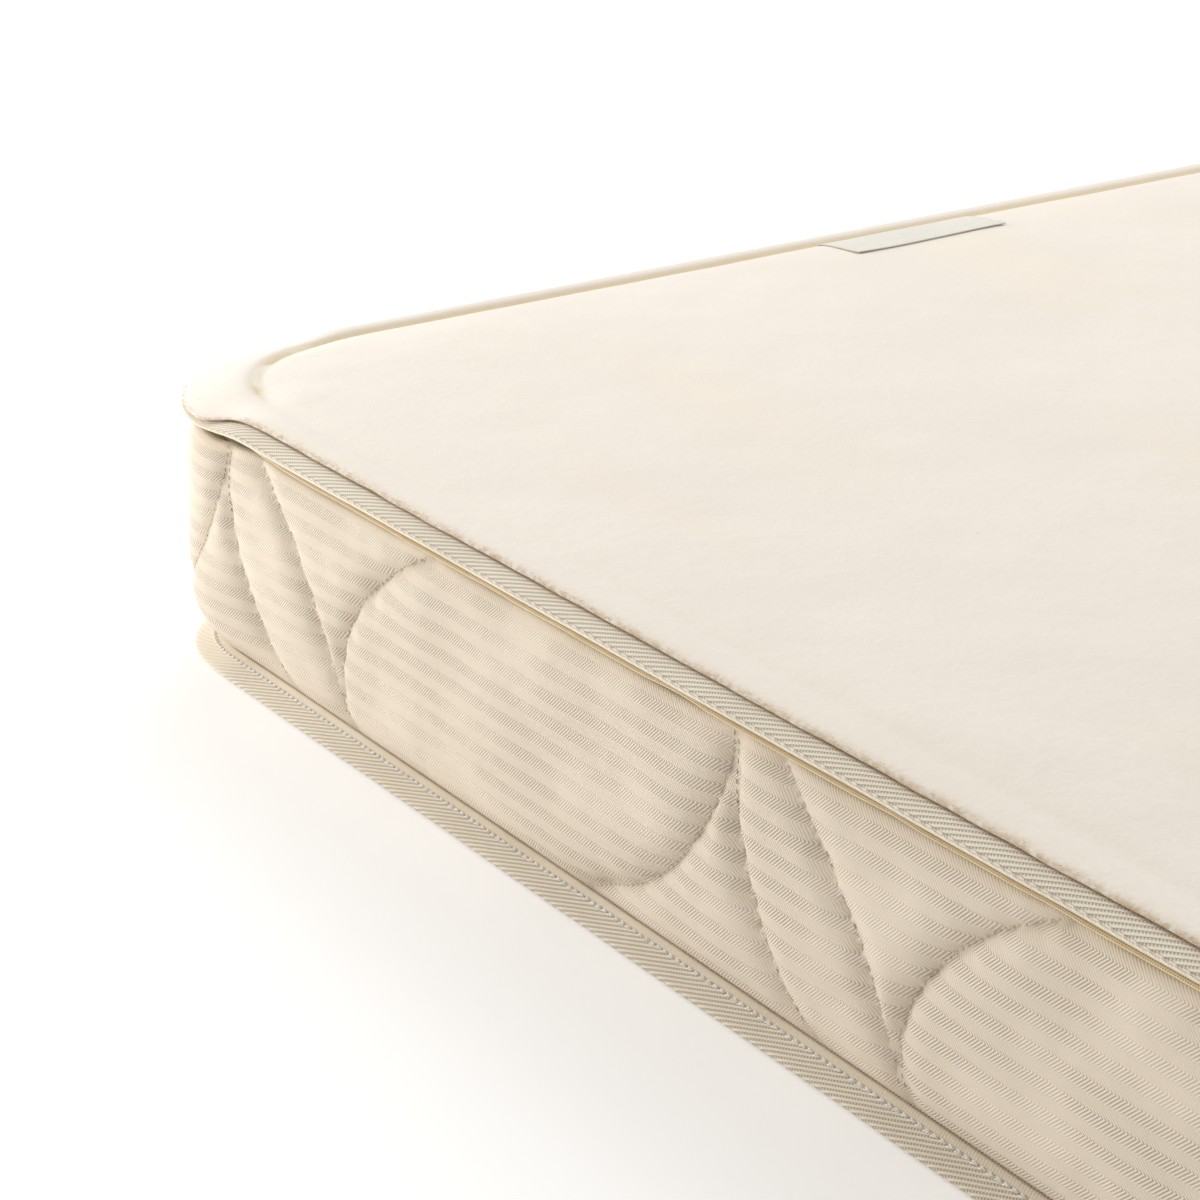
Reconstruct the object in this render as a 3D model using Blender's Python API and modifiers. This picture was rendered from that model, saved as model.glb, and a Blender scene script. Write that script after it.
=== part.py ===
"""Cot-bed mattress: a zip-off top cover over a quilted base with a layered core.

Metres, +Z up. The origin is the middle of the underside. X runs along the
mattress, and the zip's ends meet at the middle of the long side that faces +Y.

Most pieces follow the rim, the rounded rectangle round the edge tapes. Their
cross-sections are given as (inset, height): the distance in from the rim and
the height above the underside.
"""

import math

import bmesh
import bpy
from mathutils import Matrix, Vector

# Overall sizes
LENGTH = 1.400
WIDTH = 0.700
RIM_HEIGHT = 0.100          # underside to the top of the upper edge tape
CORNER_RADIUS = 0.058       # of the rim, in plan
CROWN_RISE = 0.004          # sleeping face above the edge tape
CORNER_STEPS = 6            # straight steps in each rounded corner
ROUND_STEPS = 16            # straight steps round a pin or bore
LEAST_RADIUS = 0.004        # of an outline that is moved in past the corner radius

# Fits
GAP = 0.0003                # between pieces that touch
RUNNING = 0.0003            # round the coils and the pull's pin
SLIDER_ROOM = 0.0012        # behind the slider, in front of the core

# Cloths
TAPE_CLOTH = 0.0008
PANEL_CLOTH = 0.0014
TICKING_CLOTH = 0.0009
LINING_CLOTH = 0.0006
SLEEVE_CLOTH = 0.0006
LABEL_CLOTH = 0.0005

# Taped seams
TAPE_FOLD = 0.0125          # width of the folded tape
SEAM_ALLOWANCE = 0.0090     # cloth caught between the two halves of the tape

# Top panel
VALLEY_INSET = 0.0160       # lowest line of the panel, just inside the tape
VALLEY_DROP = 0.0003
SHOULDER_INSET = 0.0500     # the panel is level from here inwards
SHOULDER_CURVE = ((0.22, 0.50), (0.52, 0.86))  # shares of the run and of the rise from valley to shoulder

# Quilting and layers
BORDER_PUFF = 0.0095
BORDER_FULLNESS = 0.8       # power of the bulge's sine, squarer as it nears 0
BORDER_STEPS = 8
TOP_WADDING = 0.0042
TOP_WADDING_INSET = 0.0340
BOTTOM_WADDING = 0.0040
BOTTOM_PANEL_INSET = 0.0200  # the bottom panel lies flat from here inwards
WOOL_LAYER = 0.0040
LATEX_LAYER = 0.0180

# Zip
ZIP_CLOTH = 0.0006
ZIP_TAPE_WIDTH = 0.0060
COIL_HEIGHT = 0.0012
COIL_DEPTH = 0.0014
COIL_GAP = 0.0010           # between the coils, for the slider's web
STRIP_HEIGHT = 0.0022       # ticking between the pleat and the zip
PLEAT_INSET = 0.0022        # fold of the pleat that covers the zip
ZIP_END_GAP = 0.0160        # between the two ends of the coils
TAPE_END_GAP = 0.0012       # between the two ends of the zip's tapes
SLIDER_LENGTH = 0.0090
SLIDER_PLATE = 0.0009
SLIDER_LIP = 0.0004
SLIDER_WEB = 0.0004
SLIDER_PARK = 0.0220        # from the coils' end to the slider's middle
EAR_THICKNESS = 0.0009
EAR_WIDTH = 0.0026
PIN_RADIUS = 0.0006
PULL_BARREL_RADIUS = 0.0014
PULL_THICKNESS = 0.0010
PULL_LENGTH = 0.0220
PULL_WIDTH = 0.0050
PULL_NECK = 0.0040          # from the pin to where the pull widens
PULL_HOLE_RADIUS = 0.0012
STOP_LENGTH = 0.0025
BOX_LENGTH = 0.0055
BOX_WALL = 0.0005
GARAGE_LENGTH = 0.0280
GARAGE_CLOTH = 0.0008

# Labels
LABEL_LENGTH = 0.080
LABEL_WIDTH = 0.027
LABEL_INSET = 0.0155        # of its outer edge, from the rim of the short side
CARE_LABEL_WIDTH = 0.030
CARE_LABEL_PLACE = 0.350    # along X, on the side that faces +Y
CARE_LABEL_START = 14.0     # degrees round the border's puff
CARE_LABEL_END = 75.0
CARE_LABEL_STEPS = 6

# Levels and insets that follow from the sizes
SEAM_HEIGHT = 2 * TAPE_CLOTH + PANEL_CLOTH + TICKING_CLOTH + 3 * GAP
LEVEL_FACE = RIM_HEIGHT + CROWN_RISE
PANEL_EDGE_LEVEL = RIM_HEIGHT - TAPE_CLOTH - GAP
VALLEY_LEVEL = PANEL_EDGE_LEVEL - VALLEY_DROP
SEAM_INSET = TAPE_FOLD + GAP
CAUGHT_INSET = TAPE_FOLD - SEAM_ALLOWANCE
STRIP_SEAM_LEVEL = RIM_HEIGHT - SEAM_HEIGHT + TAPE_CLOTH + GAP
PLEAT_TOP = RIM_HEIGHT - SEAM_HEIGHT - GAP
PLEAT_BOTTOM = PLEAT_TOP - 2 * TICKING_CLOTH - GAP
STRIP_BOTTOM = PLEAT_BOTTOM - STRIP_HEIGHT
BORDER_SEAM_LEVEL = SEAM_HEIGHT - TAPE_CLOTH - GAP
ZIP_INSET = SEAM_INSET + TICKING_CLOTH + GAP
LINING_INSET = ZIP_INSET + ZIP_CLOTH + GAP
UPPER_COIL_TOP = STRIP_BOTTOM - 2 * GAP
UPPER_COIL_BOTTOM = UPPER_COIL_TOP - COIL_HEIGHT
LOWER_COIL_TOP = UPPER_COIL_BOTTOM - COIL_GAP
LOWER_COIL_BOTTOM = LOWER_COIL_TOP - COIL_HEIGHT
ZIP_LEVEL = (UPPER_COIL_BOTTOM + LOWER_COIL_TOP) / 2
COIL_INSET = ZIP_INSET + ZIP_CLOTH / 2 - COIL_DEPTH / 2
SLIDER_BOTTOM = LOWER_COIL_BOTTOM - RUNNING - SLIDER_LIP
SLIDER_TOP = STRIP_BOTTOM - GAP
BORDER_TOP = SLIDER_BOTTOM - GAP
PLATE_FRONT = COIL_INSET - RUNNING - SLIDER_PLATE
PLATE_BACK = COIL_INSET + COIL_DEPTH + RUNNING + SLIDER_PLATE
PIN_INSET = PLATE_FRONT - RUNNING - PULL_BARREL_RADIUS
SLEEVE_INSET = PLATE_BACK + SLIDER_ROOM
CORE_INSET = SLEEVE_INSET + SLEEVE_CLOTH + GAP
SLEEVE_BOTTOM = PANEL_CLOTH + BOTTOM_WADDING + 2 * GAP
SLEEVE_TOP = VALLEY_LEVEL - PANEL_CLOTH - GAP
BACKING_BOTTOM = SLEEVE_TOP + GAP
WADDING_BOTTOM = BACKING_BOTTOM + LINING_CLOTH + GAP
SLIDER_PLACE = -(ZIP_END_GAP / 2 + SLIDER_PARK)

# Colour, roughness and metallic value of each kind of material
FINISHES = {
    "brushed_cotton": ((0.90, 0.84, 0.74), 0.95, 0.0),
    "twill_tape": ((0.80, 0.72, 0.60), 0.85, 0.0),
    "ticking": ((0.78, 0.70, 0.58), 0.85, 0.0),
    "calico": ((0.84, 0.79, 0.68), 0.90, 0.0),
    "wadding": ((0.92, 0.90, 0.84), 1.00, 0.0),
    "wool": ((0.90, 0.86, 0.76), 1.00, 0.0),
    "latex": ((0.91, 0.86, 0.68), 0.60, 0.0),
    "coir": ((0.42, 0.27, 0.14), 0.95, 0.0),
    "nylon": ((0.83, 0.76, 0.62), 0.45, 0.0),
    "nickel": ((0.72, 0.70, 0.66), 0.30, 1.0),
    "satin_label": ((0.88, 0.85, 0.77), 0.55, 0.0),
}

# Pieces that lift off together
COVER_PIECES = (
    "top_panel", "top_wadding", "top_backing", "top_edge_tape", "top_border_strip", "upper_zip_tape",
    "upper_zip_coil", "upper_end_stop", "zip_insertion_pin", "zip_garage_flap", "woven_label",
)


# Scene and objects

def clear_scene():
    """Remove every object and leave two new collections: parts and guides."""
    for item in list(bpy.data.objects):
        bpy.data.objects.remove(item, do_unlink=True)
    made = []
    for name in ("mattress", "guides"):
        collection = bpy.data.collections.new(name)
        bpy.context.scene.collection.children.link(collection)
        made.append(collection)
    return made


def principled(name, finish):
    """Make a Principled material for one piece."""
    color, roughness, metallic = FINISHES[finish]
    material = bpy.data.materials.new(name)
    material.use_nodes = True
    shader = material.node_tree.nodes["Principled BSDF"]
    shader.inputs["Base Color"].default_value = (*color, 1.0)
    shader.inputs["Roughness"].default_value = roughness
    shader.inputs["Metallic"].default_value = metallic
    material.diffuse_color = (*color, 1.0)
    return material


def add_part(name, data, finish):
    """Put a mesh or curve in the mattress collection under its part's name."""
    part = bpy.data.objects.new(name, data)
    PARTS.objects.link(part)
    data.materials.append(principled(name, finish))
    return part


def add_guide(name, data):
    """Put a section or a cutter in the guides collection, hidden from renders."""
    guide = bpy.data.objects.new(name, data)
    GUIDES.objects.link(guide)
    guide.hide_render = True
    guide.display_type = "WIRE"
    return guide


def solidify(part, thickness):
    """Give an open surface its thickness, on the side away from its normals."""
    modifier = part.modifiers.new("thickness", "SOLIDIFY")
    modifier.thickness = thickness
    modifier.offset = -1.0
    modifier.use_even_offset = True


def join(part, other, operation):
    """Add or cut away a guide mesh with a Boolean."""
    modifier = part.modifiers.new(other.name, "BOOLEAN")
    modifier.operation = operation
    modifier.solver = "EXACT"
    modifier.object = other


def hang_on(piece, parent):
    """Parent a piece and leave it where it is."""
    bpy.context.view_layer.update()
    piece.parent = parent
    piece.matrix_parent_inverse = parent.matrix_world.inverted()


# Outlines and sections

def rim_outline(inset=0.0):
    """Points of the rounded rectangle at an inset, clockwise seen from above.

    The list starts at the middle of the +Y side and goes towards +X.
    """
    radius = max(CORNER_RADIUS - inset, LEAST_RADIUS)
    across = LENGTH / 2 - inset - radius
    along = WIDTH / 2 - inset - radius
    points = [Vector((0.0, along + radius, 0.0))]
    corners = ((across, along, 90), (across, -along, 0), (-across, -along, -90), (-across, along, -180))
    for x, y, start in corners:
        for step in range(CORNER_STEPS + 1):
            angle = math.radians(start - 90 * step / CORNER_STEPS)
            points.append(Vector((x + radius * math.cos(angle), y + radius * math.sin(angle), 0.0)))
    return points


def offset_path(path, distance):
    """Move a path of (inset, height) points sideways, to its right."""
    moved = []
    for index, point in enumerate(path):
        here = Vector(point)
        sides = []
        if index > 0:
            sides.append((here - Vector(path[index - 1])).normalized())
        if index < len(path) - 1:
            sides.append((Vector(path[index + 1]) - here).normalized())
        heading = sum(sides, Vector((0.0, 0.0))).normalized()
        right = Vector((heading.y, -heading.x))
        widening = heading.dot(sides[0])
        moved.append(tuple(here + right * distance / widening))
    return moved


def signed_area(section):
    """Area of a section, positive when its points run anticlockwise."""
    following = section[1:] + section[:1]
    return sum(x0 * y1 - x1 * y0 for (x0, y0), (x1, y1) in zip(section, following)) / 2


def band(path, thickness):
    """Close a path into the section of a cloth: its right side if thickness is positive."""
    return list(path) + list(reversed(offset_path(path, thickness)))


def rectangle(inset, bottom, depth, height):
    """Section of a straight band: its outer inset, its foot, its depth and its height."""
    top = bottom + height
    return [(inset, bottom), (inset + depth, bottom), (inset + depth, top), (inset, top)]


def poly_curve(name, points, cyclic, dimensions):
    """Make a curve data block with one straight-stepped spline."""
    curve = bpy.data.curves.new(name, "CURVE")
    curve.dimensions = dimensions
    spline = curve.splines.new("POLY")
    spline.points.add(len(points) - 1)
    for slot, point in zip(spline.points, points):
        slot.co = (point[0], point[1], point[2] if len(point) > 2 else 0.0, 1.0)
    spline.use_cyclic_u = cyclic
    return curve


def ring(name, section, finish, end_gap=0.0):
    """Sweep a closed section round the rim, or along all but a gap at its start."""
    if signed_area(section) > 0:
        section = section[::-1]
    guide = poly_curve(name + "_section", section, True, "2D")
    path = rim_outline()
    if end_gap:
        start = path[0] + Vector((end_gap / 2, 0.0, 0.0))
        end = path[0] - Vector((end_gap / 2, 0.0, 0.0))
        path = [start] + path[1:] + [end]
    curve = poly_curve(name, path, not end_gap, "3D")
    curve.twist_mode = "Z_UP"
    curve.bevel_mode = "OBJECT"
    curve.bevel_object = add_guide(name + "_section", guide)
    curve.use_fill_caps = bool(end_gap)
    part = add_part(name, curve, finish)
    if end_gap:
        weld = part.modifiers.new("caps", "WELD")
        weld.merge_threshold = GAP / 10
    return part


def slab(name, inset, bottom, height, finish):
    """Make a level slab with the rim's outline, moved in."""
    curve = poly_curve(name, rim_outline(inset), True, "2D")
    curve.fill_mode = "BOTH"
    curve.extrude = height / 2
    part = add_part(name, curve, finish)
    part.location.z = bottom + height / 2
    return part


def loft(name, levels, finish, close_both=False):
    """Bridge outlines at (inset, height) levels and fill the last one, or both ends."""
    mesh = bpy.data.meshes.new(name)
    cage = bmesh.new()
    loops = []
    for inset, height in levels:
        verts = [cage.verts.new((point.x, point.y, height)) for point in rim_outline(inset)]
        loops.append([cage.edges.new((verts[i - 1], verts[i])) for i in range(len(verts))])
    for lower, upper in zip(loops, loops[1:]):
        bmesh.ops.bridge_loops(cage, edges=lower + upper)
    bmesh.ops.contextual_create(cage, geom=loops[-1])
    if close_both:
        bmesh.ops.contextual_create(cage, geom=loops[0])
    bmesh.ops.recalc_face_normals(cage, faces=cage.faces)
    cage.to_mesh(mesh)
    cage.free()
    return add_part(name, mesh, finish)


def crosswise(name, section, width, place, finish):
    """Extrude a section of the +Y side along X, centred on a place."""
    outline = [(WIDTH / 2 - inset, height) for inset, height in section]
    curve = poly_curve(name, outline, True, "2D")
    curve.fill_mode = "BOTH"
    curve.extrude = width / 2
    part = add_part(name, curve, finish)
    part.rotation_euler = (math.pi / 2, 0.0, math.pi / 2)
    part.location.x = place
    return part


def as_mesh(part, pivot=Vector()):
    """Turn a curve piece into a welded mesh piece with its origin at a pivot."""
    bpy.context.view_layer.update()
    graph = bpy.context.evaluated_depsgraph_get()
    mesh = bpy.data.meshes.new_from_object(part.evaluated_get(graph))
    mesh.transform(Matrix.Translation(-pivot) @ part.matrix_world)
    name = part.name
    curve = part.data
    bpy.data.objects.remove(part, do_unlink=True)
    bpy.data.curves.remove(curve)
    cage = bmesh.new()
    cage.from_mesh(mesh)
    bmesh.ops.remove_doubles(cage, verts=cage.verts, dist=GAP / 10)
    cage.to_mesh(mesh)
    cage.free()
    piece = bpy.data.objects.new(name, mesh)
    PARTS.objects.link(piece)
    piece.location = pivot
    return piece


def to_guide(part):
    """Move a finished mesh to the guides, as a cutter."""
    PARTS.objects.unlink(part)
    GUIDES.objects.link(part)
    part.hide_render = True
    part.display_type = "WIRE"
    return part


def guide_from(name, cage, middle):
    """Move a cage to its middle and keep it as a guide."""
    bmesh.ops.translate(cage, vec=middle, verts=cage.verts)
    mesh = bpy.data.meshes.new(name)
    cage.to_mesh(mesh)
    cage.free()
    return add_guide(name, mesh)


def block(name, middle, size):
    """A box, kept as a guide for a Boolean."""
    cage = bmesh.new()
    bmesh.ops.create_cube(cage, size=1.0)
    bmesh.ops.scale(cage, vec=size, verts=cage.verts)
    return guide_from(name, cage, middle)


def post(name, middle, radius, height, lying=False):
    """A cylinder along Z, or along Y if it is lying, kept as a guide for a Boolean."""
    cage = bmesh.new()
    bmesh.ops.create_cone(cage, cap_ends=True, segments=ROUND_STEPS, radius1=radius, radius2=radius,
                          depth=height)
    if lying:
        bmesh.ops.rotate(cage, matrix=Matrix.Rotation(math.pi / 2, 3, "X"), verts=cage.verts)
    return guide_from(name, cage, middle)


# Pieces

def folded_tape(name, bottom):
    """Edge tape folded over a seam, its fold on the rim."""
    radius = SEAM_HEIGHT / 2
    path = [(TAPE_FOLD, bottom + SEAM_HEIGHT), *fold(0.0, bottom + radius, radius), (TAPE_FOLD, bottom)]
    return ring(name, band(path, -TAPE_CLOTH), "twill_tape")


def panel_levels():
    """Top side of the sleeping panel, from the taped edge to its level middle."""
    rise = LEVEL_FACE - VALLEY_LEVEL
    run = SHOULDER_INSET - VALLEY_INSET
    levels = [(CAUGHT_INSET, PANEL_EDGE_LEVEL), (SEAM_INSET, PANEL_EDGE_LEVEL), (VALLEY_INSET, VALLEY_LEVEL)]
    levels += [(VALLEY_INSET + across * run, VALLEY_LEVEL + up * rise) for across, up in SHOULDER_CURVE]
    levels.append((SHOULDER_INSET, LEVEL_FACE))
    return levels


def fold(inset, middle, radius):
    """Half-round fold that faces outwards, from its top to its bottom."""
    turns = [math.radians(angle) for angle in (90, 135, 180, 225, 270)]
    return [(inset + radius + radius * math.cos(turn), middle + radius * math.sin(turn)) for turn in turns]


def pleated_strip():
    """Outer side of the strip above the zip: caught in the seam, pleated over the zip, then down to it."""
    radius = (PLEAT_TOP - PLEAT_BOTTOM) / 2
    path = [(CAUGHT_INSET, STRIP_SEAM_LEVEL), (SEAM_INSET, STRIP_SEAM_LEVEL), (SEAM_INSET, PLEAT_TOP)]
    path += fold(PLEAT_INSET, PLEAT_TOP - radius, radius)
    path += [(SEAM_INSET, PLEAT_BOTTOM), (SEAM_INSET, STRIP_BOTTOM)]
    return path


def puff_span():
    """Foot of the border's bulge and half its height."""
    foot = SEAM_HEIGHT + GAP
    return foot, (BORDER_TOP - GAP - foot) / 2


def border_puff():
    """Outer side of the border between its seams: a full, round bulge."""
    foot, half = puff_span()
    return [puff_point(180.0 * step / BORDER_STEPS, foot, half) for step in range(BORDER_STEPS + 1)]


def puff_point(degrees, foot, half):
    """Point of the border's bulge, from 0 degrees at its foot to 180 at its top."""
    angle = math.radians(degrees)
    fullness = max(math.sin(angle), 0.0) ** BORDER_FULLNESS
    return (SEAM_INSET - BORDER_PUFF * fullness, foot + half * (1 - math.cos(angle)))


def build_top_cover():
    """Sleeping panel, its wadding and backing, its tape and the strip above the zip."""
    panel = loft("top_panel", panel_levels(), "brushed_cotton")
    solidify(panel, PANEL_CLOTH)
    folded_tape("top_edge_tape", RIM_HEIGHT - SEAM_HEIGHT)
    under = offset_path(panel_levels(), PANEL_CLOTH + GAP)
    start, end = under[-2], under[-1]
    slope = (end[1] - start[1]) / (end[0] - start[0])
    shoulder = start[1] + slope * (TOP_WADDING_INSET - start[0])
    wadding_top = min(WADDING_BOTTOM + TOP_WADDING, end[1])
    loft("top_wadding", [(TOP_WADDING_INSET, WADDING_BOTTOM), (TOP_WADDING_INSET, shoulder),
                         (end[0], wadding_top)], "wadding", close_both=True)
    slab("top_backing", TOP_WADDING_INSET, BACKING_BOTTOM, LINING_CLOTH, "calico")
    ring("top_border_strip", band(pleated_strip(), -TICKING_CLOTH), "ticking")


def build_border():
    """Quilted border: ticking, wadding and lining, and the tape along its foot."""
    puff = border_puff()
    path = [(CAUGHT_INSET, BORDER_SEAM_LEVEL), (SEAM_INSET, BORDER_SEAM_LEVEL)] + puff
    path.append((SEAM_INSET, BORDER_TOP))
    ring("border_ticking", band(path, TICKING_CLOTH), "ticking")
    fill = offset_path(puff, TICKING_CLOTH + GAP)
    back = ZIP_INSET - GAP
    ring("border_wadding", fill + [(back, fill[-1][1]), (back, fill[0][1])], "wadding")
    lining_foot = TAPE_CLOTH + PANEL_CLOTH + 3 * GAP
    lining = rectangle(LINING_INSET, lining_foot, LINING_CLOTH, BORDER_TOP - lining_foot)
    ring("border_lining", lining, "calico")
    folded_tape("bottom_edge_tape", 0.0)


def build_underside():
    """Bottom panel, caught in its tape and flat on the ground, and its wadding."""
    edge = TAPE_CLOTH + GAP
    levels = [(CAUGHT_INSET, edge), (SEAM_INSET, edge), (BOTTOM_PANEL_INSET, 0.0)]
    panel = loft("bottom_panel", levels, "calico")
    panel.data.flip_normals()
    solidify(panel, PANEL_CLOTH)
    slab("bottom_wadding", BOTTOM_PANEL_INSET + GAP, PANEL_CLOTH + GAP, BOTTOM_WADDING, "wadding")


def build_core():
    """Calico sleeve, open at its +X end, with wool, latex and coir layers in it."""
    height = SLEEVE_TOP - SLEEVE_BOTTOM
    sleeve = as_mesh(slab("inner_sleeve", SLEEVE_INSET, SLEEVE_BOTTOM, height, "calico"))
    inner = SLEEVE_INSET + SLEEVE_CLOTH
    hollow_height = height - 2 * SLEEVE_CLOTH
    hollow = as_mesh(slab("sleeve_hollow", inner, SLEEVE_BOTTOM + SLEEVE_CLOTH, hollow_height, "calico"))
    join(sleeve, to_guide(hollow), "DIFFERENCE")
    mouth_size = (4 * SLEEVE_CLOTH, WIDTH - 2 * CORNER_RADIUS, hollow_height)
    mouth_middle = (LENGTH / 2 - SLEEVE_INSET, 0.0, (SLEEVE_BOTTOM + SLEEVE_TOP) / 2)
    join(sleeve, block("sleeve_mouth", mouth_middle, mouth_size), "DIFFERENCE")
    room = height - 2 * SLEEVE_CLOTH - 6 * GAP
    coir = room - 2 * (WOOL_LAYER + LATEX_LAYER)
    layers = (
        ("wool_layer_bottom", WOOL_LAYER, "wool"),
        ("latex_layer_bottom", LATEX_LAYER, "latex"),
        ("coir_core", coir, "coir"),
        ("latex_layer_top", LATEX_LAYER, "latex"),
        ("wool_layer_top", WOOL_LAYER, "wool"),
    )
    foot = SLEEVE_BOTTOM + SLEEVE_CLOTH + GAP
    for name, thickness, finish in layers:
        slab(name, CORE_INSET, foot, thickness, finish)
        foot += thickness + GAP


def build_zip_chain():
    """Both halves of the zip: tapes and coils that run round from end to end."""
    halves = (
        ("upper", UPPER_COIL_BOTTOM, UPPER_COIL_TOP + GAP),
        ("lower", LOWER_COIL_BOTTOM, LOWER_COIL_BOTTOM - GAP - ZIP_TAPE_WIDTH),
    )
    for side, coil_foot, tape_foot in halves:
        coil = rectangle(COIL_INSET, coil_foot, COIL_DEPTH, COIL_HEIGHT)
        ring(side + "_zip_coil", coil, "nylon", ZIP_END_GAP)
        tape = rectangle(ZIP_INSET, tape_foot, ZIP_CLOTH, ZIP_TAPE_WIDTH)
        ring(side + "_zip_tape", tape, "nylon", TAPE_END_GAP)


def build_zip_ends():
    """End stops where the zip closes, box and pin where it starts, and the garage flap over them."""
    half_gap = ZIP_END_GAP / 2
    stop_place = GAP + STOP_LENGTH / 2 - half_gap
    box_place = half_gap - GAP - BOX_LENGTH / 2
    for name, foot in (("lower_end_stop", LOWER_COIL_BOTTOM), ("upper_end_stop", UPPER_COIL_BOTTOM)):
        section = rectangle(COIL_INSET, foot, COIL_DEPTH, COIL_HEIGHT)
        crosswise(name, section, STOP_LENGTH, stop_place, "nickel")
    floor = LOWER_COIL_TOP
    box = [
        (COIL_INSET - BOX_WALL, LOWER_COIL_BOTTOM),
        (COIL_INSET + COIL_DEPTH + BOX_WALL, LOWER_COIL_BOTTOM),
        (COIL_INSET + COIL_DEPTH + BOX_WALL, UPPER_COIL_BOTTOM + BOX_WALL),
        (COIL_INSET + COIL_DEPTH, UPPER_COIL_BOTTOM + BOX_WALL),
        (COIL_INSET + COIL_DEPTH, floor),
        (COIL_INSET, floor),
        (COIL_INSET, UPPER_COIL_BOTTOM + BOX_WALL),
        (COIL_INSET - BOX_WALL, UPPER_COIL_BOTTOM + BOX_WALL),
    ]
    crosswise("zip_retainer_box", box, BOX_LENGTH, box_place, "nickel")
    pin_foot = floor + GAP
    pin = rectangle(COIL_INSET + RUNNING, pin_foot, COIL_DEPTH - 2 * RUNNING, UPPER_COIL_TOP - pin_foot)
    crosswise("zip_insertion_pin", pin, BOX_LENGTH, box_place, "nickel")
    flap_top = PLEAT_BOTTOM - GAP
    flap = rectangle(SEAM_INSET - GAP - GARAGE_CLOTH, SLIDER_BOTTOM, GARAGE_CLOTH, flap_top - SLIDER_BOTTOM)
    crosswise("zip_garage_flap", flap, GARAGE_LENGTH, 0.0, "ticking")


def slider_section():
    """Two plates joined by a web between the coils, with lips under the lower coil."""
    front = PLATE_FRONT + SLIDER_PLATE
    back = PLATE_BACK - SLIDER_PLATE
    front_lip = ZIP_INSET - RUNNING
    back_lip = ZIP_INSET + ZIP_CLOTH + RUNNING
    lip_top = SLIDER_BOTTOM + SLIDER_LIP
    web_bottom = ZIP_LEVEL - SLIDER_WEB / 2
    web_top = ZIP_LEVEL + SLIDER_WEB / 2
    return [
        (PLATE_FRONT, SLIDER_BOTTOM), (front_lip, SLIDER_BOTTOM), (front_lip, lip_top), (front, lip_top),
        (front, web_bottom), (back, web_bottom), (back, lip_top), (back_lip, lip_top),
        (back_lip, SLIDER_BOTTOM), (PLATE_BACK, SLIDER_BOTTOM), (PLATE_BACK, SLIDER_TOP), (back, SLIDER_TOP),
        (back, web_top), (front, web_top), (front, SLIDER_TOP), (PLATE_FRONT, SLIDER_TOP),
    ]


def build_slider():
    """Zip slider with two ears and a pin for the pull, parked at the closed end."""
    middle = (SLIDER_BOTTOM + SLIDER_TOP) / 2
    pin = Vector((SLIDER_PLACE, WIDTH / 2 - PIN_INSET, middle))
    slider = crosswise("zip_slider", slider_section(), SLIDER_LENGTH, SLIDER_PLACE, "nickel")
    slider = as_mesh(slider, pin)
    plate_middle = WIDTH / 2 - PLATE_FRONT - SLIDER_PLATE / 2
    reach = pin.y + EAR_WIDTH / 2 - plate_middle
    ear_size = (EAR_WIDTH, reach, EAR_THICKNESS)
    ear_y = plate_middle + reach / 2
    levels = (SLIDER_BOTTOM + EAR_THICKNESS / 2, SLIDER_TOP - EAR_THICKNESS / 2)
    for name, level in zip(("lower_ear", "upper_ear"), levels):
        join(slider, block(name, (pin.x, ear_y, level), ear_size), "UNION")
    join(slider, post("pull_pin", pin, PIN_RADIUS, levels[1] - levels[0]), "UNION")
    return slider


def pull_outline():
    """Half-round tongue on a narrow neck, in (distance from the pin, height)."""
    neck = barrel_height() / 2
    radius = PULL_WIDTH / 2
    points = [(0.0, -neck), (PULL_NECK - neck, -neck), (PULL_NECK, -radius)]
    steps = ROUND_STEPS // 2
    for step in range(steps + 1):
        angle = math.radians(-90 + 180 * step / steps)
        points.append((PULL_LENGTH - radius + radius * math.cos(angle), radius * math.sin(angle)))
    points += [(PULL_NECK, radius), (PULL_NECK - neck, neck), (0.0, neck)]
    return points


def barrel_height():
    """Height of the pull's barrel between the slider's ears."""
    return SLIDER_TOP - SLIDER_BOTTOM - 2 * (EAR_THICKNESS + RUNNING)


def build_pull(slider):
    """Pull that swings on the slider's pin and lies back along the zip."""
    middle = (SLIDER_BOTTOM + SLIDER_TOP) / 2
    pin = Vector((SLIDER_PLACE, WIDTH / 2 - PIN_INSET, middle))
    outline = [(pin.x - distance, pin.z + height) for distance, height in pull_outline()]
    curve = poly_curve("zip_pull", outline, True, "2D")
    curve.fill_mode = "BOTH"
    curve.extrude = PULL_THICKNESS / 2
    pull = add_part("zip_pull", curve, "nickel")
    pull.rotation_euler.x = math.pi / 2
    pull.location.y = pin.y
    pull = as_mesh(pull, pin)
    join(pull, post("pull_barrel", pin, PULL_BARREL_RADIUS, barrel_height()), "UNION")
    join(pull, post("pull_bore", pin, PIN_RADIUS + RUNNING, 2 * barrel_height()), "DIFFERENCE")
    eye = pin - Vector((PULL_LENGTH - PULL_WIDTH / 2, 0.0, 0.0))
    join(pull, post("pull_eye", eye, PULL_HOLE_RADIUS, 2 * PULL_THICKNESS, lying=True), "DIFFERENCE")
    hang_on(pull, slider)


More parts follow.
